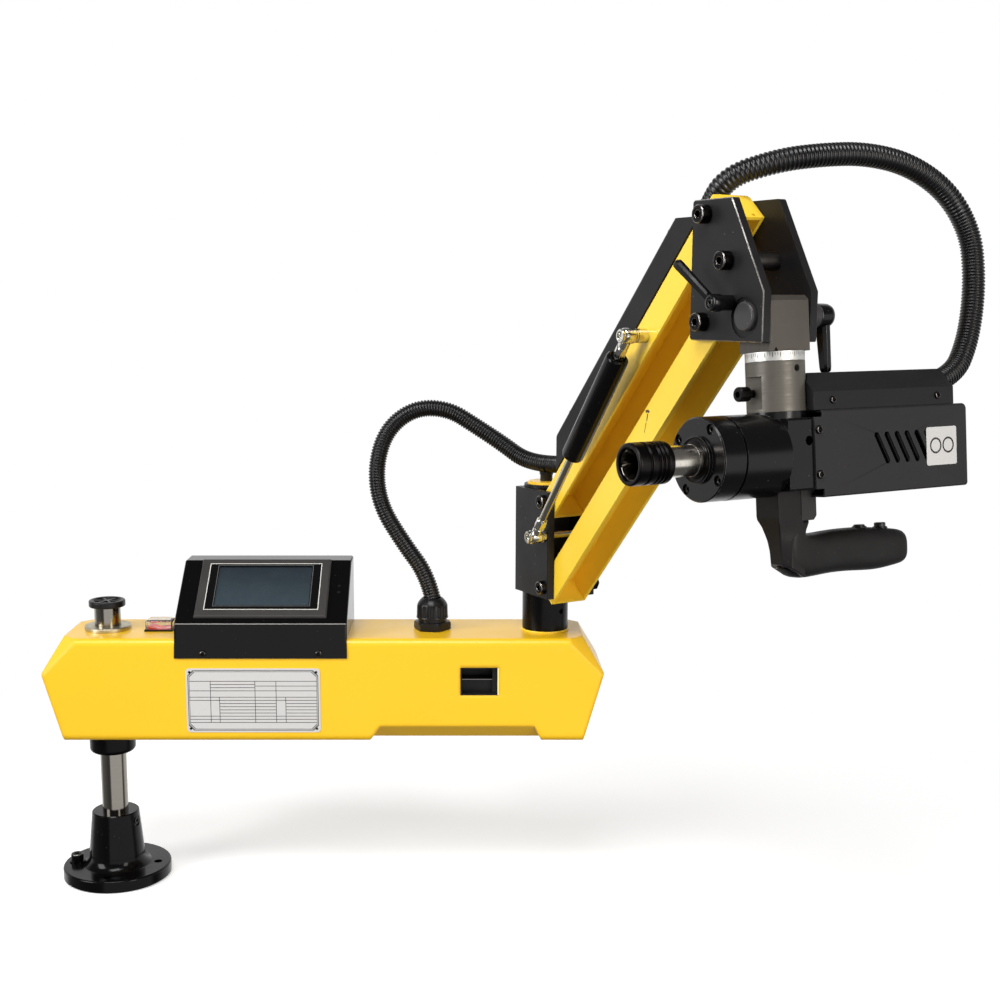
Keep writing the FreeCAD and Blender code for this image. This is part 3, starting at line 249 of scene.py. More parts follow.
def moulded(name, shown, rough, grain=20, scale=1500, **more):
    """Moulded plastic or rubber with a fine spark-eroded grain, in micrometres."""
    f = Finish(name, **more)
    colour = rgb(*shown)
    base = f.clouded(18, scaled(colour, 0.92), scaled(colour, 1.08))
    base = f.specked(base, rgb(150, 146, 140), 0.2, 260, 0.09, 0.86)
    f.bump(f.noise(scale, 2), grain)
    f.bump(f.noise(60, 2), 60)
    return f.finish(base, f.between(f.noise(45, 4), 0.3, 0.7, rough * 0.85, rough * 1.2))


def satin_black(name, level, rough, **more):
    """Black paint as dark as the real one, with a weak mirror share."""
    return paint(name, (level + 1, level, level + 1), rough, mirror=0.22, **more)


def clean(name, shown, rough, tint, peel=0):
    """A film or print without dust."""
    return paint(name, shown, rough, peel, dust=0.0, tint=tint)


YELLOW_COAT = {"tint": 0.02, "dust": 0.1, "coat": (0.3, 0.2)}
yellow = paint("yellow_powder_coat", (246, 194, 24), 0.36, round_edges=0.006, **YELLOW_COAT)
# A lighter copy of the arm's yellow coat: painted light on the links, which face the key light.
link_yellow = paint("link_yellow", (251, 210, 58), 0.34, **YELLOW_COAT)
# Slightly lighter yellow: a painted highlight on the links' broken edges; it is also the colour of the washer
# under the post.
yellow_edge = paint("yellow_edge", (252, 214, 62), 0.3, 10, tint=0.03, dust=0.1)
black_paint = satin_black("black_powder_coat", 24, 0.4, peel=20, grain=10, dust=0.06)
cover_grey = satin_black("cover_powder_coat", 36, 0.42, peel=20, grain=10, dust=0.06)
anodised = satin_black("black_anodised_plate", 26, 0.42, peel=10, grain=10, dust=0.3)
pin_grey = satin_black("pin_grey", 58, 0.36, peel=10, grain=10, dust=0.2)
glass_black = satin_black("glass_black", 10, 0.09, peel=0, dust=0.06, coat=(0.3, 0.03))
black_gloss = paint("black_gloss_paint", (9, 8, 9), 0.14, 20, dust=0.06, mirror=0.12, coat=(0.15, 0.03))
cast_black = paint("cast_black_enamel", (8, 7, 8), 0.18, 50, dust=0.1, mirror=0.12, coat=(0.1, 0.06))
deep_black = paint("deep_black", (9, 8, 9), 0.26, 10, dust=0.1, mirror=0.14)
housing_black = paint("housing_black", (10, 9, 10), 0.24, 10, mirror=0.24, coat=(0.12, 0.05))
strut_black = paint("strut_gloss_black", (9, 8, 9), 0.2, 0, dust=0.06, mirror=0.16, coat=(0.1, 0.05))
# Pale grey for the control box's crease: a painted highlight.
fold_grey = paint("fold_grey", (150, 148, 146), 0.3, 0, tint=0.1, dust=0.2)
conduit_black = clean("conduit_black", (15, 14, 15), 0.3, 0.1)
ink = clean("print_ink", (34, 31, 32), 0.5, 0.1)
line_white = clean("white_line", (206, 204, 198), 0.4, 0.03)
line_grey = clean("grey_line", (82, 84, 84), 0.4, 0.05)
label_metal = clean("label_plate", (202, 201, 200), 0.38, 0.02, 10)
sticker = clean("sticker_film", (196, 195, 193), 0.35, 0.02, 10)
reveal = clean("window_reveal", (246, 226, 150), 0.4, 0.04, 10)
scuff = clean("link_scuff", (72, 60, 34), 0.6, 0.25, 20)
black_edge = worn_and_highlit_edge("black_edge", (26, 25, 27), 0.3, (150, 147, 142), 0.3)
# Lighter than the plates' paint: a painted highlight on the edges of the plates, tilt pin and front flange,
# with some real wear.
bright_edge = worn_and_highlit_edge("bright_edge", (70, 68, 67), 0.36, (176, 173, 168), 0.8)
block_edge = worn_and_highlit_edge("block_edge", (84, 79, 73), 0.4, (190, 185, 175), 0.3)
plastic = moulded("black_plastic", (19, 18, 19), 0.36, mirror=0.3)
nylon = moulded("gland_nylon", (20, 19, 20), 0.34, 10, mirror=0.3)
rubber = moulded("grip_rubber", (26, 25, 25), 0.5, 40, 1300, mirror=0.2)
stem_black = moulded("stem_black", (25, 23, 23), 0.42, 30, 1800, mirror=0.2)
stem_grey = moulded("stem_grey", (46, 44, 44), 0.46, 30, 1800, mirror=0.25)
button_black = moulded("button_black", (22, 22, 23), 0.3)
bezel = moulded("bezel_plastic", (54, 52, 51), 0.42, mirror=0.3)
# Bright bare steel: a painted highlight ring on the screws' chamfers and heads, and also the shelf's bare front
# edge.
rim_steel = metal("rim_steel", (150, 146, 142), 0.22, (400, 400, 400), stain=0.2)
oxide = metal("black_oxide", (38, 36, 36), 0.3, (300, 300, 300))
chrome = metal("ground_chrome", (152, 147, 138), 0.13, (12, 12, 1500), 3, stain=0.04)
rod_chrome = metal("rod_chrome", (206, 200, 184), 0.14, (1500, 12, 12), 2, stain=0.05)
steel = metal("turned_steel", (226, 220, 210), 0.2, (30, 420, 30), 1, HEAD, 0.06)
cross_steel = metal("cross_steel", (88, 85, 82), 0.34, (20, 900, 20), 10, POST)
zinc = metal("zinc_plate", (226, 224, 216), 0.2, (260, 260, 260), 1, stain=0.1)
ring_plate = metal("ring_plate", (196, 188, 164), 0.36, (120, 120, 120), 1, stain=0.05)
ring_silver = metal("ring_silver", (222, 221, 217), 0.42, (20, 20, 1500), 4, HEAD, 0.03)
mouth_black = metal("mouth_black", (150, 146, 140), 0.12, (90, 90, 90), 4, HEAD, 0.5)
block_grey = metal("block_grey", (84, 79, 73), 0.46, (900, 15, 15), 10, HEAD, 0.08, bare=0.45)
collar_grey = metal("collar_grey", (92, 88, 81), 0.42, (20, 20, 900), 2, HEAD, 0.04, bare=0.45)


def lcd_finish():
    """Switched-off display: lighter towards its foot, with a dark strip at its right side."""
    f = Finish("lcd_slate", coat=(0.5, 0.04))
    f.within(SLOPE)
    parts = f.add("ShaderNodeSeparateXYZ", {0: f.at})
    rise = f.maths("ADD", f.between(parts["Y"], 0.02, 0.085), f.between(f.noise(14, 2), 0.3, 0.7, -0.15, 0.15))
    base = f.mix(rise, rgb(50, 62, 70), rgb(30, 38, 45))
    base = f.mix(f.between(parts["X"], 0.238, 0.239), base, rgb(14, 14, 15))
    f.bump(f.noise(700, 1), 2)
    return f.finish(base, f.between(f.noise(90, 3), 0.3, 0.7, 0.2, 0.3))


def rocker_finish():
    f = Finish("rocker_red", coat=(0.3, 0.03), **{
        "Subsurface Weight": 0.1, "Subsurface Radius": (0.002, 0.0006, 0.0004)})
    f.bump(f.noise(900, 2), 10)
    return f.finish(f.clouded(300, rgb(214, 14, 14), rgb(232, 30, 26), 2),
                    f.between(f.noise(120, 3), 0.3, 0.7, 0.2, 0.32))


def clear_finish():
    f = Finish("clear_cover", IOR=1.3, **{"Transmission Weight": 0.98})
    base = f.mix(f.between(f.noise(120, 3), 0.35, 0.7), rgb(250, 250, 250), rgb(236, 236, 238))
    f.bump(f.noise(160, 2), 20)
    return f.finish(base, f.between(f.noise(70, 4), 0.4, 0.75, 0.0, 0.05))


# ---- carried-over solids
SMOOTH_UP_TO = 35


def smoothing_group():
    """Smooth faces, with sharp edges over SMOOTH_UP_TO degrees and where plates join."""
    g = Nodes(bpy.data.node_groups.new("smooth_by_angle", "GeometryNodeTree"))
    for way in ("INPUT", "OUTPUT"):
        g.tree.interface.new_socket("Geometry", in_out=way, socket_type="NodeSocketGeometry")
    angle = g.add("GeometryNodeInputMeshEdgeAngle")["Unsigned Angle"]
    faces_here = g.add("GeometryNodeInputMeshEdgeNeighbors")[0]
    sharp = g.maths("MAXIMUM", g.maths("GREATER_THAN", angle, radians(SMOOTH_UP_TO)),
                    g.maths("GREATER_THAN", faces_here, 2.5))
    faces = g.add("GeometryNodeSetShadeSmooth", {"Geometry": g.add("NodeGroupInput")[0]}, domain="FACE")
    edges = g.add("GeometryNodeSetShadeSmooth", {
        "Geometry": faces[0], "Selection": sharp, "Shade Smooth": False}, domain="EDGE")
    g.add("NodeGroupOutput", {0: edges[0]})
    return g.tree


SMOOTH = smoothing_group()


def break_edges(obj, width, over, **settings):
    """Bevels the edges over so many degrees; width is in millimetres."""
    assign(obj.modifiers.new("bevel", "BEVEL"), limit_method="ANGLE", angle_limit=radians(over),
           width=width * MM, **settings)


def dress(name, material, width=0.4, edge=None, steps=2, across=None):
    """A CAD node's own finish, with its edges broken as on the real part.
    Given a plate's normal as across, its chamfers take the edge finish too."""
    node = NODES[name]
    node.data.materials.clear()
    node.data.materials.append(material)
    if edge:
        node.data.materials.append(edge)
    node.modifiers.new("weld", "WELD").merge_threshold = 2 * MICRON
    if width:
        break_edges(node, width, 32, segments=steps, miter_outer="MITER_ARC", material=1 if edge else -1)
    if across:
        for face in node.data.polygons:
            if 0.3 < abs(face.normal.dot(across)) < 0.95:
                face.material_index = 1
    node.modifiers.new("smooth", "NODES").node_group = SMOOTH
    node.modifiers.new("flat", "WEIGHTED_NORMAL").keep_sharp = True
    return node


dress("base_flange", cast_black, 1.2, steps=3)
dress("hub_screw", oxide, 0.3, black_edge)
dress("column", chrome, 0.5)
dress("column_cap", plastic)
dress("lower_collar", deep_black, 0.5)
dress("arm_shell", yellow, 3.0, steps=4)
dress("bearing_housings", cast_black, 0.5)
rings = dress("arm_rings", ring_plate)
rings.data.materials.append(yellow_edge)
for face in rings.data.polygons:
    if face.center.x > 0.3:   # the washer under the post
        face.material_index = 1
dress("bottom_cover", black_paint, 0.3)
dress("window_liner", black_paint, 0.3)
dress("nameplate", label_metal, 0.2)
dress("control_box_cover", black_gloss, 0.7, steps=3)
dress("hmi_bezel", bezel, 0.5)
dress("hmi_screen", lcd_finish(), 0)
dress("switch_frame", plastic, 0.3)
dress("switch_cover", clear_finish(), 0)
dress("switch_rocker", rocker_finish())
dress("post_tube", deep_black, 0.6)
dress("post_bracket", anodised, 0.5, black_edge)
dress("post_top_disc", yellow, 0.5)
dress("cable_cover", black_paint, 0.5)
for link in ("upper_link", "lower_link"):
    dress(link, link_yellow, 0.5, yellow_edge)
# The plates' chamfers take the lighter edge finish: a painted highlight with some wear.
for plate in ("near_plate", "far_plate"):
    dress(plate, anodised, 0.2, bright_edge, across=POST.to_3x3() @ Vector((0, 1, 0)))
dress("cross_spacer", cross_steel, 0.3)
dress("tilt_pin", pin_grey, 0.5, bright_edge)
dress("tilt_block", block_grey, 0.4, block_edge)
dress("graduated_ring", ring_silver, 0.3)
dress("swivel_collar", collar_grey)
dress("lock_screw", oxide, 0.3, black_edge)
dress("gear_housing", housing_black, 0.5, black_edge)
dress("front_flange", housing_black, 0.4, bright_edge)
dress("servo_motor", cast_black, 0.5)
dress("motor_cover", cover_grey)
dress("cable_box", black_paint)
dress("cable_boot", plastic, 0.5)
dress("chuck_sleeve", oxide, 1.1, steps=3)
dress("button_1", button_black, 0)
dress("button_2", button_black, 0)


# ---- mesh helpers
def facing(point, direction):
    """Frame at point whose Z is direction."""
    return Matrix.Translation(point) @ Vector(direction).to_track_quat("Z", "Y").to_matrix().to_4x4()


def rise(height):
    return Matrix.Translation((0, 0, height))


FRONT = (0, -1, 0)


def skin(bm, loops, capped=True, accent=()):
    """Faces between loops of as many points each; bands in accent take the second finish."""
    made = [[bm.verts.new(p) for p in loop] for loop in loops]
    for band, (a, b) in enumerate(zip(made, made[1:])):
        for i in range(len(a)):
            face = bm.faces.new((a[i - 1], a[i], b[i], b[i - 1]))
            face.material_index = 1 if band in accent else 0
    if capped:
        bm.faces.new(made[0][::-1])
        bm.faces.new(made[-1])


def sheet(bm, points):
    bm.faces.new([bm.verts.new(p) for p in points])


def round_points(steps):
    return [2 * pi * i / steps for i in range(steps)]


def turned(bm, profile, at=WORLD, steps=48, capped=True, accent=()):
    """Solid of revolution about Z of (radius, height) pairs. A radius may be a function of angle and step."""
    loops = []
    for radius, height in profile:
        loops.append([at @ Vector((*polar(radius(a, i) if callable(radius) else radius, a), height))
                      for i, a in enumerate(round_points(steps))])
    skin(bm, loops, capped, accent)


def hexagon(across):
    return lambda a, i: across / 2 / cos(a % (pi / 3) - pi / 6)


def capped_at(shape, limit):
    return lambda a, i: min(shape(a, i), limit)


def knurled(radius, depth=0.15):
    return lambda a, i: radius - depth * (i % 2)


def lobed(radius, depth, count=6):
    return lambda a, i: radius - depth * max(0, cos(count * a)) ** 3


def ribbed(radius, depth=1.5, count=12):
    return lambda a, i: radius - depth * (0.5 + 0.5 * tanh(5 * (cos(count * a) - 0.1)))


def cross_slot(arm, half):
    def radius(a, i):
        c = max(abs(cos(a)), 0.001)
        s = max(abs(sin(a)), 0.001)
        return max(min(arm / c, half / s), min(half / c, arm / s))
    return radius


def cap_screw(bm, at, radius, height, across, shank=(1, 0), knurl=True):
    """Socket cap screw bearing on Z = 0: knurled side, a chamfer and a ring groove round the socket; the
    chamfer and the socket's rim take the second finish, which on bright steel is a painted highlight ring.
    The shank is a radius and a length."""
    side = knurled(radius) if knurl else radius
    key = hexagon(across)
    turned(bm, [
        (shank[0], -shank[1]), (shank[0], 0), (radius - 0.3, 0), (side, 0.3), (side, height - 1.1),
        (radius - 0.1, height - 0.9), (radius - 0.55, height - 0.25), (radius - 1.0, height),
        (radius * 0.64, height), (radius * 0.60, height - 0.5), (radius * 0.54, height - 0.5),
        (radius * 0.5, height - 0.05), (lambda a, i: key(a, i) + 0.35, height - 0.05),
        (key, height - 0.35), (key, height * 0.35), (across * 0.2, height * 0.2),
    ], at, 72, accent=(5, 6, 12))


def hex_nut(bm, at, across, height, bore):
    """Nut with the bolt's end standing out of it."""
    key = hexagon(across)
    low = capped_at(key, across * 0.55)
    turned(bm, [(bore, 0), (low, 0), (key, 0.6), (key, height - 0.8), (low, height), (across * 0.36, height),
                (bore, height - 0.5)], at, 72)
    turned(bm, [(bore - 0.1, -1), (bore - 0.1, height + 0.6), (bore - 1.1, height + 1.6)], at, 32)


def pan_screw(bm, at, radius, height):
    """Pan head with a cross recess."""
    slot = cross_slot(radius * 0.62, radius * 0.16)
    # Band 3 on the shoulder takes the second finish, a painted highlight ring where that is bright steel.
    turned(bm, [(radius, 0)] + [(radius * r, height * h) for r, h in (
        (1, 0.35), (0.93, 0.68), (0.8, 0.88), (0.7, 0.95))] + [
        (slot, height), (slot, height * 0.45), (radius * 0.08, height * 0.3)], at, accent=(3,))


def rectangle(x0, x1, y0, y1):
    return (x0, y0), (x1, y0), (x1, y1), (x0, y1)


def inset(box, by):
    return box[0] + by, box[1] - by, box[2] + by, box[3] - by


def block(bm, x0, x1, y0, y1, z0, z1):
    skin(bm, [[(x, y, z) for x, y in rectangle(x0, x1, y0, y1)] for z in (z0, z1)])


def make_object(name, bm, finishes, sharp=None):
    """Object of bm, which is in metres. Edges over sharp degrees stay sharp."""
    mesh = bpy.data.meshes.new(name)
    bm.to_mesh(mesh)
    bm.free()
    for finish in finishes:
        mesh.materials.append(finish)
    if sharp:
        mesh.shade_smooth()
        mesh.set_sharp_from_angle(angle=radians(sharp))
    return new_object(name, mesh)


def piece(name, build, place, body, slot, *finishes, replaces=None, sharp=33, rounded=0.0, sub=0):
    """A new object drawn by build(bm) in millimetres in place's frame."""
    bm = bmesh.new()
    build(bm)
    bmesh.ops.recalc_face_normals(bm, faces=bm.faces)
    bm.transform(Matrix.Scale(MM, 4))
    obj = make_object(name, bm, finishes, sharp)
    obj.matrix_world = place
    if rounded:
        break_edges(obj, rounded, sharp, segments=2, harden_normals=True,
                    material=1 if len(finishes) > 1 else -1)
    if sub:
        assign(obj.modifiers.new("round", "SUBSURF"), levels=sub, render_levels=sub)
    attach(obj, body)
    if replaces:
        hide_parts(replaces)


def drawn(name, *where, **more):
    """Decorator: the function below it draws this piece."""
    def make(build):
        piece(name, build, *where, **more)
        return build
    return make


# ---- camera, fitted to the photo
camera = new_object("camera", bpy.data.cameras.new("camera"))
camera.location = (0.38529, -1.49968, 0.63134)
camera.rotation_euler = (radians(80.58), 0, 0)
assign(camera.data, lens=50.894, sensor_width=36, shift_x=0.03745, shift_y=0.03535, clip_start=0.05)
bpy.context.scene.camera = camera

# ---- conduits: routes in metres
CONDUIT_Z = 460   # where conduit 1 crosses the post, in millimetres
CONDUIT_1_LOWER = [
    (0.3528, 0, 0.3135), (0.3467, 0, 0.3395), (0.3221, 0.004, 0.3726), (0.2964, 0.01, 0.4134),
    (0.2912, 0.018, 0.4545), (0.3028, 0.027, 0.4938), (0.3328, 0.035, 0.5168), (0.3697, 0.04, 0.5157),
    (0.4007, 0.039, 0.4962), (0.4298, 0.0325, 0.4775), (0.4541, 0.0198, 0.46), (0.4748, 0, 0.46),
]
CONDUIT_1_UPPER = [
    (0, 0, 0.46), (0.021, 0.00656, 0.46), (0.044, 0.006, 0.467), (0.066, 0.003, 0.489), (0.0826, 0, 0.5125),
]
CONDUIT_2_LOWER = [
    (-0.05529, 0, -0.01814), (-0.03499, 0, 0.00526), (-0.01149, -0.0008, 0.03226), (0.01251, 0.0351, 0.04626),
    (0.01676, 0.0566, 0.04931),
]
CONDUIT_2_MIDDLE = [
    (0.01676, 0.0566, 0.04931), (0.02101, 0.0781, 0.05236), (0.02601, 0.124, 0.05506),
    (0.03201, 0.1715, 0.04756), (0.03731, 0.2155, 0.02466), (0.04036, 0.22795, 0.00671),
]
CONDUIT_2_UPPER = [
    (0.04036, 0.22795, 0.00671), (0.04341, 0.2404, -0.01124), (0.04811, 0.2431, -0.04714),
    (0.05311, 0.238, -0.08004), (0.05711, 0.2281, -0.11174), (0.06181, 0.2088, -0.13904),
    (0.06151, 0.179, -0.14684),
]
RADIUS_1, PITCH_1 = 9.25, 3.08     # of the ribs' crests, in millimetres
RADIUS_2, PITCH_2 = 10.25, 3.94

# One rib: share of the pitch, and how far the wall lies inside the crest, in millimetres.
RIB = ((0.0, 1.15), (0.12, 1.0), (0.24, 0.4), (0.38, 0.06), (0.5, 0.0), (0.62, 0.06), (0.76, 0.4), (0.88, 1.0))
AROUND = 44


def centreline(points, place):
    """The route's smooth line in the machine's frame, in metres."""
    curve = assign(bpy.data.curves.new("route", "CURVE"), dimensions="3D", resolution_u=48)
    spline = curve.splines.new("NURBS")
    spline.points.add(len(points) - 1)
    for point, spot in zip(spline.points, points):
        point.co = (*(place @ Vector(spot)), 1)
    spline.order_u = 3
    spline.use_endpoint_u = True
    holder = new_object("route", curve)
    bpy.context.view_layer.update()
    line = bpy.data.meshes.new_from_object(holder.evaluated_get(bpy.context.evaluated_depsgraph_get()))
    path = [v.co.copy() for v in line.vertices]
    bpy.data.meshes.remove(line)
    bpy.data.objects.remove(holder)
    bpy.data.curves.remove(curve)
    return path


def corrugated(part, points, place, radius, pitch):
    """Ribbed conduit along the route, in the place of the CAD conduit."""
    path = centreline(points, place)
    runs = [b - a for a, b in zip(path, path[1:])]
    reach = [0.0]
    for run in runs:
        reach.append(reach[-1] + run.length)
    length = reach[-1]
    count = round(length / (pitch * MM))
    stations = [((k + share) / count * length, drop) for k in range(count) for share, drop in RIB]
    stations.append((length, RIB[0][1]))
    loops = []
    j = 0
    side = None
    for s, drop in stations:
        while j < len(path) - 2 and reach[j + 1] < s:
            j += 1
        share = (s - reach[j]) / (reach[j + 1] - reach[j])
        at = path[j].lerp(path[j + 1], share)
        ahead = runs[j].normalized().lerp(runs[min(j + 1, len(runs) - 1)].normalized(), share)
        tangent = (ahead * 2 + runs[max(j - 1, 0)].normalized() * (1 - share)).normalized()
        if side is None:
            side = tangent.orthogonal().normalized()
        side = (side - tangent * side.dot(tangent)).normalized()
        other = tangent.cross(side)
        r = (radius - drop) * MM
        loops.append([at + (side * cos(a) + other * sin(a)) * r for a in round_points(AROUND)])
    bm = bmesh.new()
    skin(bm, loops)
    bmesh.ops.recalc_face_normals(bm, faces=bm.faces)
    obj = make_object("hose_" + part, bm, [conduit_black], 60)
    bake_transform(obj)
    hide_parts("conduit_" + part)
    return obj, path


hose_1, path_1 = corrugated(
    "1_lower", CONDUIT_1_LOWER, WORLD, RADIUS_1, PITCH_1)
hose_1b, _ = corrugated("1_upper", CONDUIT_1_UPPER, POST, RADIUS_1, PITCH_1)
hose_2, _ = corrugated("2_lower", CONDUIT_2_LOWER, AT_BOLT, RADIUS_2, PITCH_2)
hose_2b, path_2b = corrugated(
    "2_middle", CONDUIT_2_MIDDLE, AT_BOLT, RADIUS_2, PITCH_2)
hose_2c, path_2c = corrugated("2_upper", CONDUIT_2_UPPER, AT_BOLT, RADIUS_2, PITCH_1)


# ---- gland, saddle, bolts and screws
# Black oxide screws whose accent bands are bright steel: a painted highlight.
SCREWS = ("black_oxide", oxide, rim_steel)
PLATE = (92.9, 234.8, 179.1, 248.9)   # the nameplate
PLATE_Y = -52.2


@drawn("gland_body", shift(ARM_L - 122.3, 0, 279.9), "base_arm", "black_plastic", nylon, replaces="cable_gland")
def gland_body(bm):
    """Hexagon foot, ribbed clamping nut and its dome."""
    foot = lambda a, i: hexagon(35.2)(a + radians(8), i)
    low = capped_at(foot, 18.6)
    turned(bm, [(12.6, -11), (12.6, -0.3), (low, 0), (foot, 0.9), (foot, 7.6), (low, 8.8), (15.2, 9.2),
                (15.2, 12.2), (16.9, 12.6), (17.3, 13.4), (17, 14.6)], steps=96, capped=False)
    turned(bm, [(17, 14.6), (ribbed(17), 15.4), (ribbed(16.7), 26), (16.3, 27.2), (15.2, 29.6), (13, 32.4),
                (11.3, 34.2), (10.1, 34.8), (9.4, 34.4), (9.3, 31)], steps=192, capped=False)


@drawn("conduit_saddle", POST, "post", "black_plastic", plastic, replaces="conduit_clip")
def conduit_saddle(bm):
    """Stem on the post's disc with a low cradle for the conduit."""
    turned(bm, [(6.6, 441.8), (6.6, 448), (7.4, 449.5), (7.4, 451.5), (3, 452)], steps=40)
    out = Vector((0.955, 0.297, 0)).normalized()
    side = Vector((-out.y, out.x, 0))
    inside = [polar(9.6, radians(a)) for a in range(200, 341, 20)]
    outside = [polar(10.7, radians(a)) for a in range(340, 199, -20)]
    skin(bm, [[out * step + side * across + Vector((0, 0, CONDUIT_Z + up)) for across, up in inside + outside]
              for step in (-3.5, 3.5)])


@drawn("base_cap_screw", WORLD, "base", "black_oxide", oxide, black_edge)
def base_bolt(bm):
    """Cap screw on its washer."""
    at = Matrix.Translation((-45, 0, 13.6))
    turned(bm, [(3.9, -11), (3.9, -0.5), (7.4, -0.1), (8.6, 0), (8.6, 1.2), (8, 1.4), (4, 1.4)], at)
    cap_screw(bm, at @ rise(1.4), 6.8, 8, 5, (3.9, 1))


def side_bolts(bm, x, z, radius, height, shank=10.4):
    """Cap screw through the near fork wall and hexagon bolt through the far one."""
    far_side = facing((x, FORK_OUTER, z), (0, 1, 0))
    cap_screw(bm, facing((x, -FORK_OUTER, z), FRONT), radius, height, radius * 0.76, (5, shank))
    hex_nut(bm, far_side, 14.7, 6, 5)
    turned(bm, [(4.95, -shank), (4.95, 0.2)], far_side, 32)


@drawn("post_cross_bolts", POST, "post", *SCREWS, replaces="post_bolts")
def post_bolts(bm):
    for z in (LOWER_Z, UPPER_Z):
        side_bolts(bm, PIVOT_X, z, 7, 6.5)
    out = Vector((*polar(1, radians(12)), 0))
    turned(bm, [(2.9, 0), (2.9, 4.4), (2.4, 5), (hexagon(3), 5), (hexagon(3), 2.5), (0.4, 2)],
           facing(Vector((0, 0, 303)) + out * 18, out), 36)


@drawn("head_cross_bolts", POST, "head_bracket", *SCREWS, replaces="head_bolts")
def head_bolts(bm):
    for z in (UPPER_Z, LOWER_Z):
        side_bolts(bm, *link_point(LINK_L, z), 8, 10)
    side_bolts(bm, BOLT[0] + 30.21, BOLT[2] - 39.24, 8, 10, 2 * FORK_OUTER)


@drawn("arm_fixings", WORLD, "base_arm", *SCREWS, replaces="arm_screws")
def arm_fixings(bm):
    """Screws of the bottom cover, the nameplate's rivets and the screws of the control box."""
    for x in (68, 166, 264):
        for y in (-30, 30):
            pan_screw(bm, facing((x, y, 166.7), (0, 0, -1)), 3, 1.5)
    x0, x1, z0, z1 = inset(PLATE, 4)
    for x, z in ((x0, z0), (x0, z1), (x1, z0), (x1, z1)):
        turned(bm, [(1.3, 0), (1.25, 0.35), (0.9, 0.62), (0.4, 0.7)], facing((x, PLATE_Y, z), FRONT), 24)
    for x in (112, 233.9):
        for side in (-1, 1):
            pan_screw(bm, facing((x, side * 53.1, 265.3), (0, side, 0)), 3.4, 1.9)


@drawn("head_fixings", HEAD, "head", *SCREWS, replaces="head_screws")
def head_fixings(bm):
    """Screws of the front flange, the motor cover and the cable box."""
    for angle in (55, 145, -125, -35):
        x, up = polar(29.5, radians(angle))
        cap_screw(bm, facing((x, -78.8, SPINDLE_W + up), FRONT), 4.2, 4.5, 2.9)
    for side in (-1, 1):
        for w in (-96, -133):
            pan_screw(bm, facing((side * 32, 16.5, w), (side, 0, 0)), 3.6, 2.2)
        for u in (34.6, 155.8):
            pan_screw(bm, facing((side * 30, u, -72), (side, 0, 0)), 3.1, 1.9)


# ---- gas strut
ALONG = facing((0, 0, 0), (1, 0, 0))   # the strut's line
STRUT_FINISH = ("zinc", zinc)


def strut_eye(x, out):
    """Eye on the pin's axis Y at x, with a collared hexagon neck towards out."""
    def build(bm):
        key = hexagon(10.2)
        turned(bm, [(4.2, -6), (6.3, -6), (7.2, -5), (7.2, 4.6), (6.8, 5.4), (6, 6), (4.2, 6)],
               facing((x, 0, 0), FRONT))
        turned(bm, [(5.3, 5.5), (5.3, 12.2), (4.7, 12.8), (4.5, 13), (4.5, 14), (key, 14.4), (key, 23.6),
                    (4.9, 24.6), (4.6, 25.6)], facing((x, 0, 0), (out, 0, 0)))
    return build


def stud(x, z, face, inner):
    """Hollow-ended stud through the eye, its shoulder on the face it leaves; inner is where it ends inside."""
    low, top = STRUT_Y - inner, STRUT_Y - face
    return lambda bm: turned(bm, [
        (4, low), (4, top), (6.5, top), (6.5, -8.6), (6, -8.2), (6, -7.4), (6.5, -7), (6.5, -6.2),
        (4.2, -6.2), (4.2, 6.2), (6, 6.2), (6.2, 6.6), (6.2, 8.6), (5.6, 9.2), (4.4, 9.2), (3.9, 8.7),
        (3.6, 6.9), (0.4, 6.4)], facing((x, STRUT_Y, z), FRONT))


piece("strut_foot_stud", stud(PIVOT_X, STRUT_FOOT_Z, -FORK_OUTER, FORK_OUTER + 1), POST, "post", *STRUT_FINISH,
      replaces="strut_lower_stud")
piece("strut_head_stud", stud(STRUT_AT, 0, -LINK_HALF, 3 - LINK_HALF), UPPER_LINK, "upper_link", *STRUT_FINISH,
      replaces="strut_upper_stud")
piece("strut_foot_eye", strut_eye(0, 1), STRUT, "strut_rod", *STRUT_FINISH, replaces="strut_rod")


@drawn("strut_chrome_rod", STRUT, "strut_rod", "column_chrome", rod_chrome)
def strut_rod(bm):
    turned(bm, [(3.2, 24.5), (4, 25.3), (4, STRUT_L - 51), (3.6, STRUT_L - 50)], ALONG, 40)


@drawn("strut_cylinder", STRUT, "strut_tube", "strut_black", strut_black)
def strut_tube(bm):
    foot = [(6.1, 6), (6.1, 0.8), (6.7, 0), (8.8, 0), (10.4, 0.8), (11, 2.6)]
    head = [(11, 3.2), (10.6, 1.4), (9.6, 0.3), (8.4, 0), (7.9, 0.4), (7.6, 1.6), (6.2, 2)]
    foot_x, head_x = STRUT_L - 149.5, STRUT_L - 24.4
    turned(bm, [(r, foot_x + x) for r, x in foot] + [(r, head_x - x) for r, x in head], ALONG, 64)


piece("strut_head_eye", strut_eye(STRUT_L, -1), STRUT, "strut_tube", *STRUT_FINISH, replaces="strut_tube")


# ---- levers
LEVER_ENDS = ((0, 1), (0.12, 1), (0.5, 1), (0.9, 1), (0.965, 0.93), (0.99, 0.78), (1, 0.5))


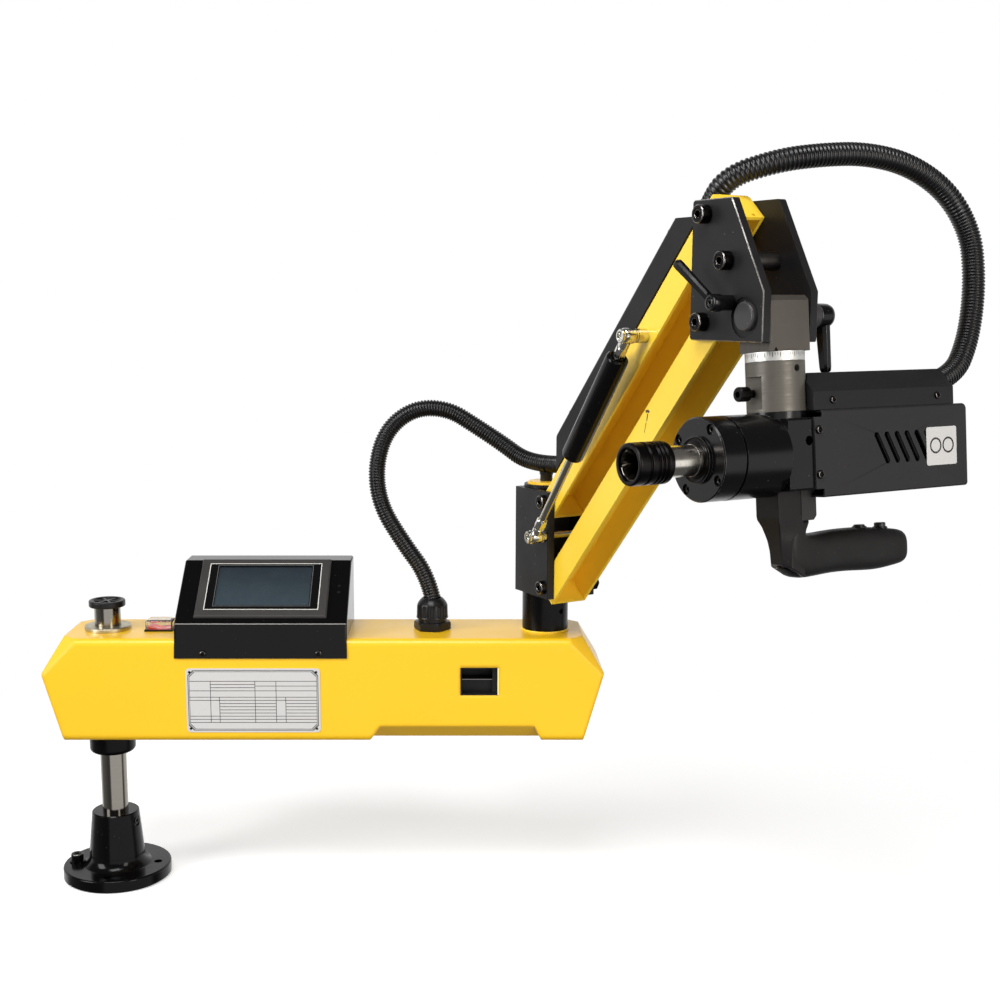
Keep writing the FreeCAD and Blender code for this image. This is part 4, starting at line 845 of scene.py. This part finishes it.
def lever_arm(bm, start, end, widths, depths):
    """Tapered eight-sided arm: widths across it, depths along Y."""
    start, end = Vector(start), Vector(end)
    along = (end - start).normalized()
    flat = Vector((0, 1, 0))
    flat = (flat - along * flat.dot(along)).normalized()
    across = along.cross(flat)
    length = (end - start).length
    loops = []
    for t, shrink in LEVER_ENDS:
        w = (widths[0] + (widths[1] - widths[0]) * t) / 2 * shrink
        d = (depths[0] + (depths[1] - depths[0]) * t) / 2 * shrink
        centre = start + along * length * t
        loops.append([centre + across * w * a + flat * d * b for a, b in (
            (1, 0.45), (0.62, 1), (-0.62, 1), (-1, 0.45), (-1, -0.45), (-0.62, -1), (0.62, -1), (1, -0.45))])
    skin(bm, loops)


@drawn("front_clamp_lever", AT_BOLT @ shift(35.81, 0, -74.04), "front_lever", "black_plastic",
       housing_black, black_edge, replaces="front_lever", rounded=0.5)
def front_lever(bm):
    hub = facing((0, -FORK_OUTER, 0), FRONT)
    turned(bm, [(3.9, -8), (3.9, 0), (6.2, 0.2), (6.4, 1), (6.4, 10), (7, 11.5), (7.4, 13), (7.4, 20.6),
                (6.8, 21.9), (6, 22.4), (4.7, 22.5), (4.4, 21.4), (4.1, 21.3)], hub)
    cap_screw(bm, hub @ rise(19.4), 3.7, 3.4, 2.5, knurl=False)
    lever_arm(bm, (-3, -47.5, 2.2), (-40.8, -56, 33.8), (6.2, 8.6), (7, 8.2))


@drawn("rear_clamp_lever", POST @ shift(*HEAD_PIN), "rear_lever", "black_plastic",
       housing_black, black_edge, replaces="rear_lever", rounded=0.5)
def rear_lever(bm):
    turned(bm, [(6, 0), (9.6, 0), (10.5, 0.8), (10.5, 9), (10.2, 12.5), (9.2, 15), (7.4, 16.4), (4.8, 16.9),
                (4.4, 16.2), (hexagon(6.5), 16), (hexagon(6.5), 13.5), (1, 13)],
           facing((0, 45.1, 0), (0, 1, 0)))
    lever_arm(bm, (0, 54.5, -4), (2, 59, -48), (14, 9.5), (9, 8))


# ---- handle, in the head's frame: v across, u back, w up
@drawn("handle_neck", HEAD, "head", "grip_rubber", stem_black, stem_black, replaces="handle_stem", rounded=1)
def stem_shape(bm):
    """Neck of the handle: a box above, tapering to a narrow front below; its foot is cut on the slant."""
    stations = [  # height, front half width, front, side half width, side seam, rear, slant
        (-145.4, 14.2, -14, 15.2, 10.2, 10.2, 0), (-167, 14.2, -14, 15.2, 10.2, 10.2, 0),
        (-170, 13.9, -13.6, 15.1, 9.8, 12, 0), (-176, 11.4, -11, 14.7, 6.6, 13, 0),
        (-182, 9.9, -9.3, 14.2, 3.8, 13, 0), (-188, 8.4, -7.9, 13.8, 1.9, 13, 0),
        (-197, 7.1, -6.6, 13.5, 0.4, 13, 0), (-207.5, 6.6, -6, 13.5, 0, 14, 0.62),
    ]
    skin(bm, [[(v, u, w - (u - front) * slant) for v, u in (
        (-a, front), (a, front), (b, seam), (b, rear), (-b, rear), (-b, seam))]
        for w, a, front, b, seam, rear, slant in stations])


@drawn("handle_block", HEAD, "head", "grip_rubber", stem_grey, stem_grey, rounded=0.6)
def stem_block(bm):
    """Block behind the neck, its foot chamfered towards the grip."""
    outline = [(10.5, -145.4), (27, -145.4), (27, -168), (24, -171.6), (10.5, -171.6)]
    skin(bm, [[(v, u, w) for u, w in outline] for v in (-15.2, 15.2)])


def oval(a, half_a, half_b, power):
    """Point of a superellipse."""
    c, s = cos(a), sin(a)
    return half_a * copysign(abs(c) ** (2 / power), c), half_b * copysign(abs(s) ** (2 / power), s)


@drawn("hand_grip", HEAD, "head", "grip_rubber", rubber, replaces="grip", sharp=50, sub=1)
def grip_shape(bm):
    """Lofted from the neck, down and back into the hand grip."""
    sections = [  # outer point (u, w), inner point (u, w), half width, squareness
        (7, -170.5, 25, -170.5, 12.6, 3.4), (4.5, -174, 23.6, -174, 13.4, 3.4),
        (1, -180, 20.2, -178.6, 14.2, 3.4), (-2.5, -187, 18.6, -182, 14.8, 3.3),
        (-4, -195, 21, -184, 15, 3.2), (-3.6, -205, 27, -184.4, 15, 3.1), (-0.5, -213, 34, -184.2, 15, 3),
        (5.5, -219, 40, -183.8, 15, 2.9), (15, -221.4, 46, -183.4, 15, 2.9), (29, -220.8, 53, -183, 15, 2.9),
        (43, -219.7, 61, -182.8, 15.1, 2.9), (57, -219.4, 69, -182.7, 15.3, 2.9),
        (71, -219.8, 78, -182.8, 15.4, 2.9), (85, -220.8, 88, -183.2, 15.4, 2.9),
        (97, -221.4, 98, -183.9, 15.3, 2.9), (107.5, -221, 108, -184.9, 15.2, 2.9),
        (117, -220, 117, -186, 15, 2.9), (125, -219, 125, -187, 14.8, 3),
        (130, -218.2, 130, -187.8, 14.4, 3), (133.4, -216.8, 133.4, -189.2, 13.2, 3),
        (135.2, -213.6, 135.2, -192.4, 10.6, 3), (135.6, -208, 135.6, -198, 6, 2.6),
    ]
    loops = []
    for u0, w0, u1, w1, half, power in sections:
        outer, inner = Vector((0, u0, w0)), Vector((0, u1, w1))
        up = (inner - outer) / 2
        loops.append([(outer + inner) / 2 + Vector((x, 0, 0)) + up.normalized() * y
                      for x, y in (oval(a, half, up.length, power) for a in round_points(48))])
    skin(bm, loops)


@drawn("button_rims", HEAD, "head", "black_plastic", plastic)
def button_rims(bm):
    for u, top in ((89.2, -183.6), (113.7, -185.6)):
        turned(bm, [(5.4, -4), (6.2, -3), (6.6, -0.2), (6.3, 0.8), (5.8, 1.1), (5.4, 0.7), (5.35, -4)],
               Matrix.Translation((0, u, top)), capped=False)


@drawn("neck_screw", HEAD, "head", "black_oxide", oxide)
def stem_plug(bm):
    """Plug with a crossed slot in the neck's foot."""
    slot = cross_slot(3.9, 0.6)
    turned(bm, [(9, -1), (9, 0.3), (8.4, 0.8), (7.6, 0.5), (7.2, -0.6), (5, -0.6), (4.8, 0.2),
                (slot, 0.3), (slot, -0.5), (0.3, -0.6)], facing((0, 4.6, -214.6), (0, -0.62, -1)))


# ---- head details
RING_R = 24.6
INK_RISE = 0.04


@drawn("ring_marks", HEAD, "tilt_block", "black_oxide", ink)
def ring_marks(bm):
    """Graduations of the swivel ring: one each 5 degrees, longer each 15."""
    top, r = -31, RING_R + INK_RISE
    for k in range(72):
        width, low = (0.28, -34.6) if k % 3 == 0 else (0.2, -33.4)
        a, half = radians(5 * k), width / RING_R
        sheet(bm, [(*polar(r, t), w) for t, w in (
            (a - half, top), (a + half, top), (a + half, low), (a - half, low))])


@drawn("spindle_seal", HEAD, "head", "black_oxide", oxide)
def spindle_seal(bm):
    turned(bm, [(13.5, -0.5), (13.5, 0.5), (14.4, 0.9), (15.4, 0.6), (15.8, 0.1), (17.2, 0.1), (17.4, 0.6),
                (18.2, 0.8), (18.8, 0.3), (18.8, -0.5)], facing((0, -87.8, SPINDLE_W), FRONT), 72, False)


@drawn("spindle_body", HEAD, "spindle", "steel", steel, mouth_black, replaces="spindle")
def spindle_body(bm):
    """Spindle with its shoulder, and the chuck's body with a lobed, polished mouth."""
    turned(bm, [
        (12.5, 61.5), (13.3, 62), (13.3, 84.5), (12.6, 85), (12.6, 87.2), (13.3, 87.7), (13.3, 92),
        (12.9, 92.3), (12.9, 118.6), (13.2, 119), (13.2, 150.4), (12.9, 151), (lobed(12.7, 0.8), 150.9),
        (lobed(11.4, 2.6), 144), (lobed(10.4, 2.4), 138), (9.5, 128), (8.6, 122.6), (0.5, 122),
    ], facing((0, 0, SPINDLE_W), FRONT), 96, accent=range(10, 16))


# ---- nameplate and window
RULE = 0.6   # width of the table's lines


def ruled_table(x0, x1, z0, z1):
    """Rules of the blank rating table."""
    a, b, c, d, e = 0.165, 0.235, 0.515, 0.68, 0.755   # column lines, as shares of the width
    head = z1 - (z1 - z0) * 0.165
    foot = z0 + (z1 - z0) * 0.115
    rows = 13
    pitch = (head - foot) / rows
    half = RULE / 2
    x = lambda share: x0 + (x1 - x0) * share
    z = lambda row: head - pitch * row
    across = [(row, 0, 1) for row in (0, 3, 5, 6, 11, 12, 13)]
    across += [(1, a, c), (2, a, c), (1.5, c, 1)]
    for row in (7, 8, 9, 10):
        across += [(row, b, d), (row, e, 1)]
    return [rectangle(x(start), x(end), z(row) - half, z(row) + half) for row, start, end in across] + [
        rectangle(x(column) - half, x(column) + half, z(rows), z(row))
        for column, row in ((a, 0), (c, 0), (d, 0), (b, 5), (e, 5))]


def border(x0, x1, z0, z1, width, cut=5.5):
    """Frame line with cut corners, as four-cornered strokes."""
    def ring(by):
        c = cut + by * 0.41
        a, b, d, e = inset((x0, x1, z0, z1), by)
        return [(a + c, d), (b - c, d), (b, d + c), (b, e - c), (b - c, e), (a + c, e), (a, e - c), (a, d + c)]
    outer, inner = ring(0), ring(width)
    return [(outer[i - 1], outer[i], inner[i], inner[i - 1]) for i in range(8)]


@drawn("nameplate_rules", WORLD, "base_arm", "label_plate", ink)
def nameplate_rules(bm):
    frames = border(*inset(PLATE, 2), 0.7) + border(*inset(PLATE, 3.4), 0.45)
    for stroke in ruled_table(*inset(PLATE, 3.6)) + frames:
        sheet(bm, [(x, PLATE_Y - INK_RISE, z) for x, z in stroke])


@drawn("window_details", WORLD, "base_arm", "yellow_paint", rim_steel, reveal)
def window_details(bm):
    """Bare front edge of the shelf, and the cut edge of the arm's sheet at the window's right side."""
    block(bm, 384.6, 416.9, -40.3, -40, 233.6, 234.2)
    before = len(bm.faces)
    block(bm, 422.3, 423.8, -51.2, -47.5, 219.6, 249.2)
    bm.faces.ensure_lookup_table()
    for cut_edge in bm.faces[before:]:
        cut_edge.material_index = 1


@drawn("link_scuff", POST, "lower_link", "yellow_paint", scuff)
def link_scuff_mark(bm):
    """Handling mark on the lower link's near side."""
    for points in (
        [(-2.6, 4.2), (1.8, 5.2), (4.6, 3.4), (2.6, 1.9), (0.6, 2.6), (-1.6, 1.5)],
        [(0.4, 1.6), (1.9, 1.2), (0.2, -6), (-0.9, -5.6)],
        [(-1.3, -6.6), (-0.3, -7.2), (-3.4, -17), (-4, -16.6)],
    ):
        sheet(bm, [(205.9 + x, -LINK_HALF - 0.05, 527 + z) for x, z in points])


# ---- control box's screen
SCREEN = (111.6, 232, 17.2, 83)


def raised_frame(outer, inner, *heights):
    """Band between two rectangles, with heights at its outer and inner edges."""
    return lambda bm: skin(bm, [[(x, s, h) for x, s in rectangle(*box)]
                                for box, h in zip((outer, outer, inner, inner), heights)], capped=False)


def frame_line(outer, width, z):
    return raised_frame(outer, inset(outer, width), z - 0.08, z, z, z - 0.08)


piece("screen_glass", frame_line(SCREEN, 4.5, 3.56), SLOPE, "base_arm", "screen_glass", glass_black)
piece("screen_white_line", frame_line(inset(SCREEN, -0.6), 0.9, 3.6), SLOPE, "base_arm", "label_plate",
      line_white)


@drawn("control_box_crease", WORLD, "base_arm", "black_paint", fold_grey)
def box_crease(bm):
    """Pale rod along the fold between the control box's skirt and its slope: a painted highlight of the light
    the fold catches.
    """
    section = [polar(0.55, a) for a in round_points(8)]
    skin(bm, [[(x, -50.36 + y, 296.45 + z) for y, z in section] for x in (82.6, 262.6)])


# Black glass between the white line and the display.
piece("screen_mask", raised_frame(SCREEN, (121.4, 222.1, 22.9, 79.7), 3.5, 3.58, 3.58, 2.75), SLOPE, "base_arm",
      "screen_glass", glass_black)
piece("screen_grey_line", frame_line((120, 223.5, 21.5, 81.1), 0.7, 3.62), SLOPE, "base_arm", "bezel_plastic",
      line_grey)


@drawn("side_sticker", HEAD, "head", "label_plate", sticker)
def side_sticker(bm):
    """Plain film on the motor cover, in the place of the button guide."""
    face, r = 32.12, 2.0
    u0, u1, w0, w1 = inset((139.5, 176, -132.6, -99.4), r)
    outline = []
    for u, w, start in ((u1, w1, 0), (u0, w1, 90), (u0, w0, 180), (u1, w0, 270)):
        for k in range(5):
            du, dw = polar(r, radians(start + 22.5 * k))
            outline.append((u + du, w + dw))
    skin(bm, [[(x, u, w) for u, w in outline] for x in (face - 0.1, face)])


@drawn("sticker_rings", HEAD, "head", "black_plastic", ink)
def sticker_rings(bm):
    for u in (150.5, 165.6):
        turned(bm, [(7, 0), (5.4, 0)], facing((32.16, u, -115.5), (1, 0, 0)), capped=False)


# ---- studio
WHITE = (1, 1, 1, 1)


def studio_world(scene):
    """White behind the machine, dark overhead and on the camera's side, with two standing reflectors:
    a wide warm one on the right and a grey one on the left. The camera sees plain white."""
    scene.world = assign(bpy.data.worlds.new("studio"), use_nodes=True)
    w = Nodes(scene.world.node_tree)
    times = lambda a, b: w.maths("MULTIPLY", a, b)
    axis = w.add("ShaderNodeSeparateXYZ", {0: w.add("ShaderNodeTexCoord")["Generated"]})
    side = w.maths("SUBTRACT", axis[1], times(w.maths("ABSOLUTE", axis[2]), 0.9))
    around = w.maths("ARCTAN2", axis[0], times(axis[1], -1.0))
    right = times(w.ramp(around, -0.42, -0.24), w.ramp(around, 1.45, 1.7, 1, 0))
    left = times(w.ramp(around, -0.62, -0.46, 1, 0), w.ramp(around, -2.1, -0.5, 0.3, 0.1))
    band = w.maths("ABSOLUTE", w.maths("ADD", axis[2], 0.12))
    cards = times(w.maths("ADD", right, left), w.ramp(band, 0.2, 0.42, 1, 0))
    mirrored = w.maths("MAXIMUM", w.ramp(side, -0.15, 0.25, 0.1, 1.0), cards)
    ray = w.add("ShaderNodeLightPath")
    bounced = w.add("ShaderNodeMix", {
        0: ray["Is Glossy Ray"], 2: w.ramp(side, -0.3, 0.4, 0.22, 0.65), 3: mirrored})[0]
    seen = w.maths("MAXIMUM", ray["Is Camera Ray"], ray["Is Transmission Ray"])
    strength = w.add("ShaderNodeMix", {0: seen, 2: bounced, 3: 1.0})[0]
    w.feed(w.tree.nodes["Background"], {"Color": WHITE, "Strength": strength})


def studio_floor():
    """Pale floor that fades into the white background."""
    f = Finish("floor")
    camera_ray = f.add("ShaderNodeLightPath")["Is Camera Ray"]

    def glow(strength):
        return f.add("ShaderNodeEmission", {"Color": WHITE, "Strength": strength})[0]

    pale = f.clouded(3, rgb(236, 236, 236), rgb(240, 240, 240), 2)
    f.finish(f.mix(camera_ray, rgb(140, 138, 134), pale), 0.7)
    near = f.add("ShaderNodeAddShader", {
        0: f.surface.outputs[0], 1: glow(f.maths("MULTIPLY", camera_ray, 0.4))})
    distance = f.add("ShaderNodeVectorMath", {0: f.at}, operation="LENGTH")["Value"]
    both = f.add("ShaderNodeMixShader", {
        0: f.ramp(distance, 0.35, 0.95), 1: near[0], 2: glow(f.between(camera_ray, 0, 1, 0.3, 1))})
    f.feed(f.tree.nodes["Material Output"], {"Surface": both[0]})
    bm = bmesh.new()
    bmesh.ops.create_circle(bm, cap_ends=True, segments=96, radius=1.0)
    floor = make_object("floor", bm, [f.material])
    assign(floor, location=(0.25, 0.0, -0.0005), visible_glossy=False)


def softbox(name, place, size, power, towards=(0.4, -0.1, 0.4), tint=(1, 1, 1), mirrored=True):
    light = assign(bpy.data.lights.new(name, "AREA"), shape="RECTANGLE", size=size[0], size_y=size[1],
                   energy=power, color=tint)
    assign(new_object(name, light), visible_glossy=mirrored, location=place,
           rotation_euler=(Vector(towards) - Vector(place)).to_track_quat("-Z", "Y").to_euler())


bpy.context.scene.view_settings.view_transform = "Standard"
studio_world(bpy.context.scene)
studio_floor()
softbox("key", (-1.7, -1.2, 1.1), (1.0, 1.4), 40)
softbox("top", (0.0, -1.2, 2.3), (1.3, 0.8), 34)
softbox("warm", (1.6, -1.6, 0.9), (0.5, 1.1), 14, tint=(1.0, 0.95, 0.88))
softbox("low", (1.0, -1.4, 0.12), (0.9, 0.24), 6, (0.6, -0.15, 0.6), mirrored=False)
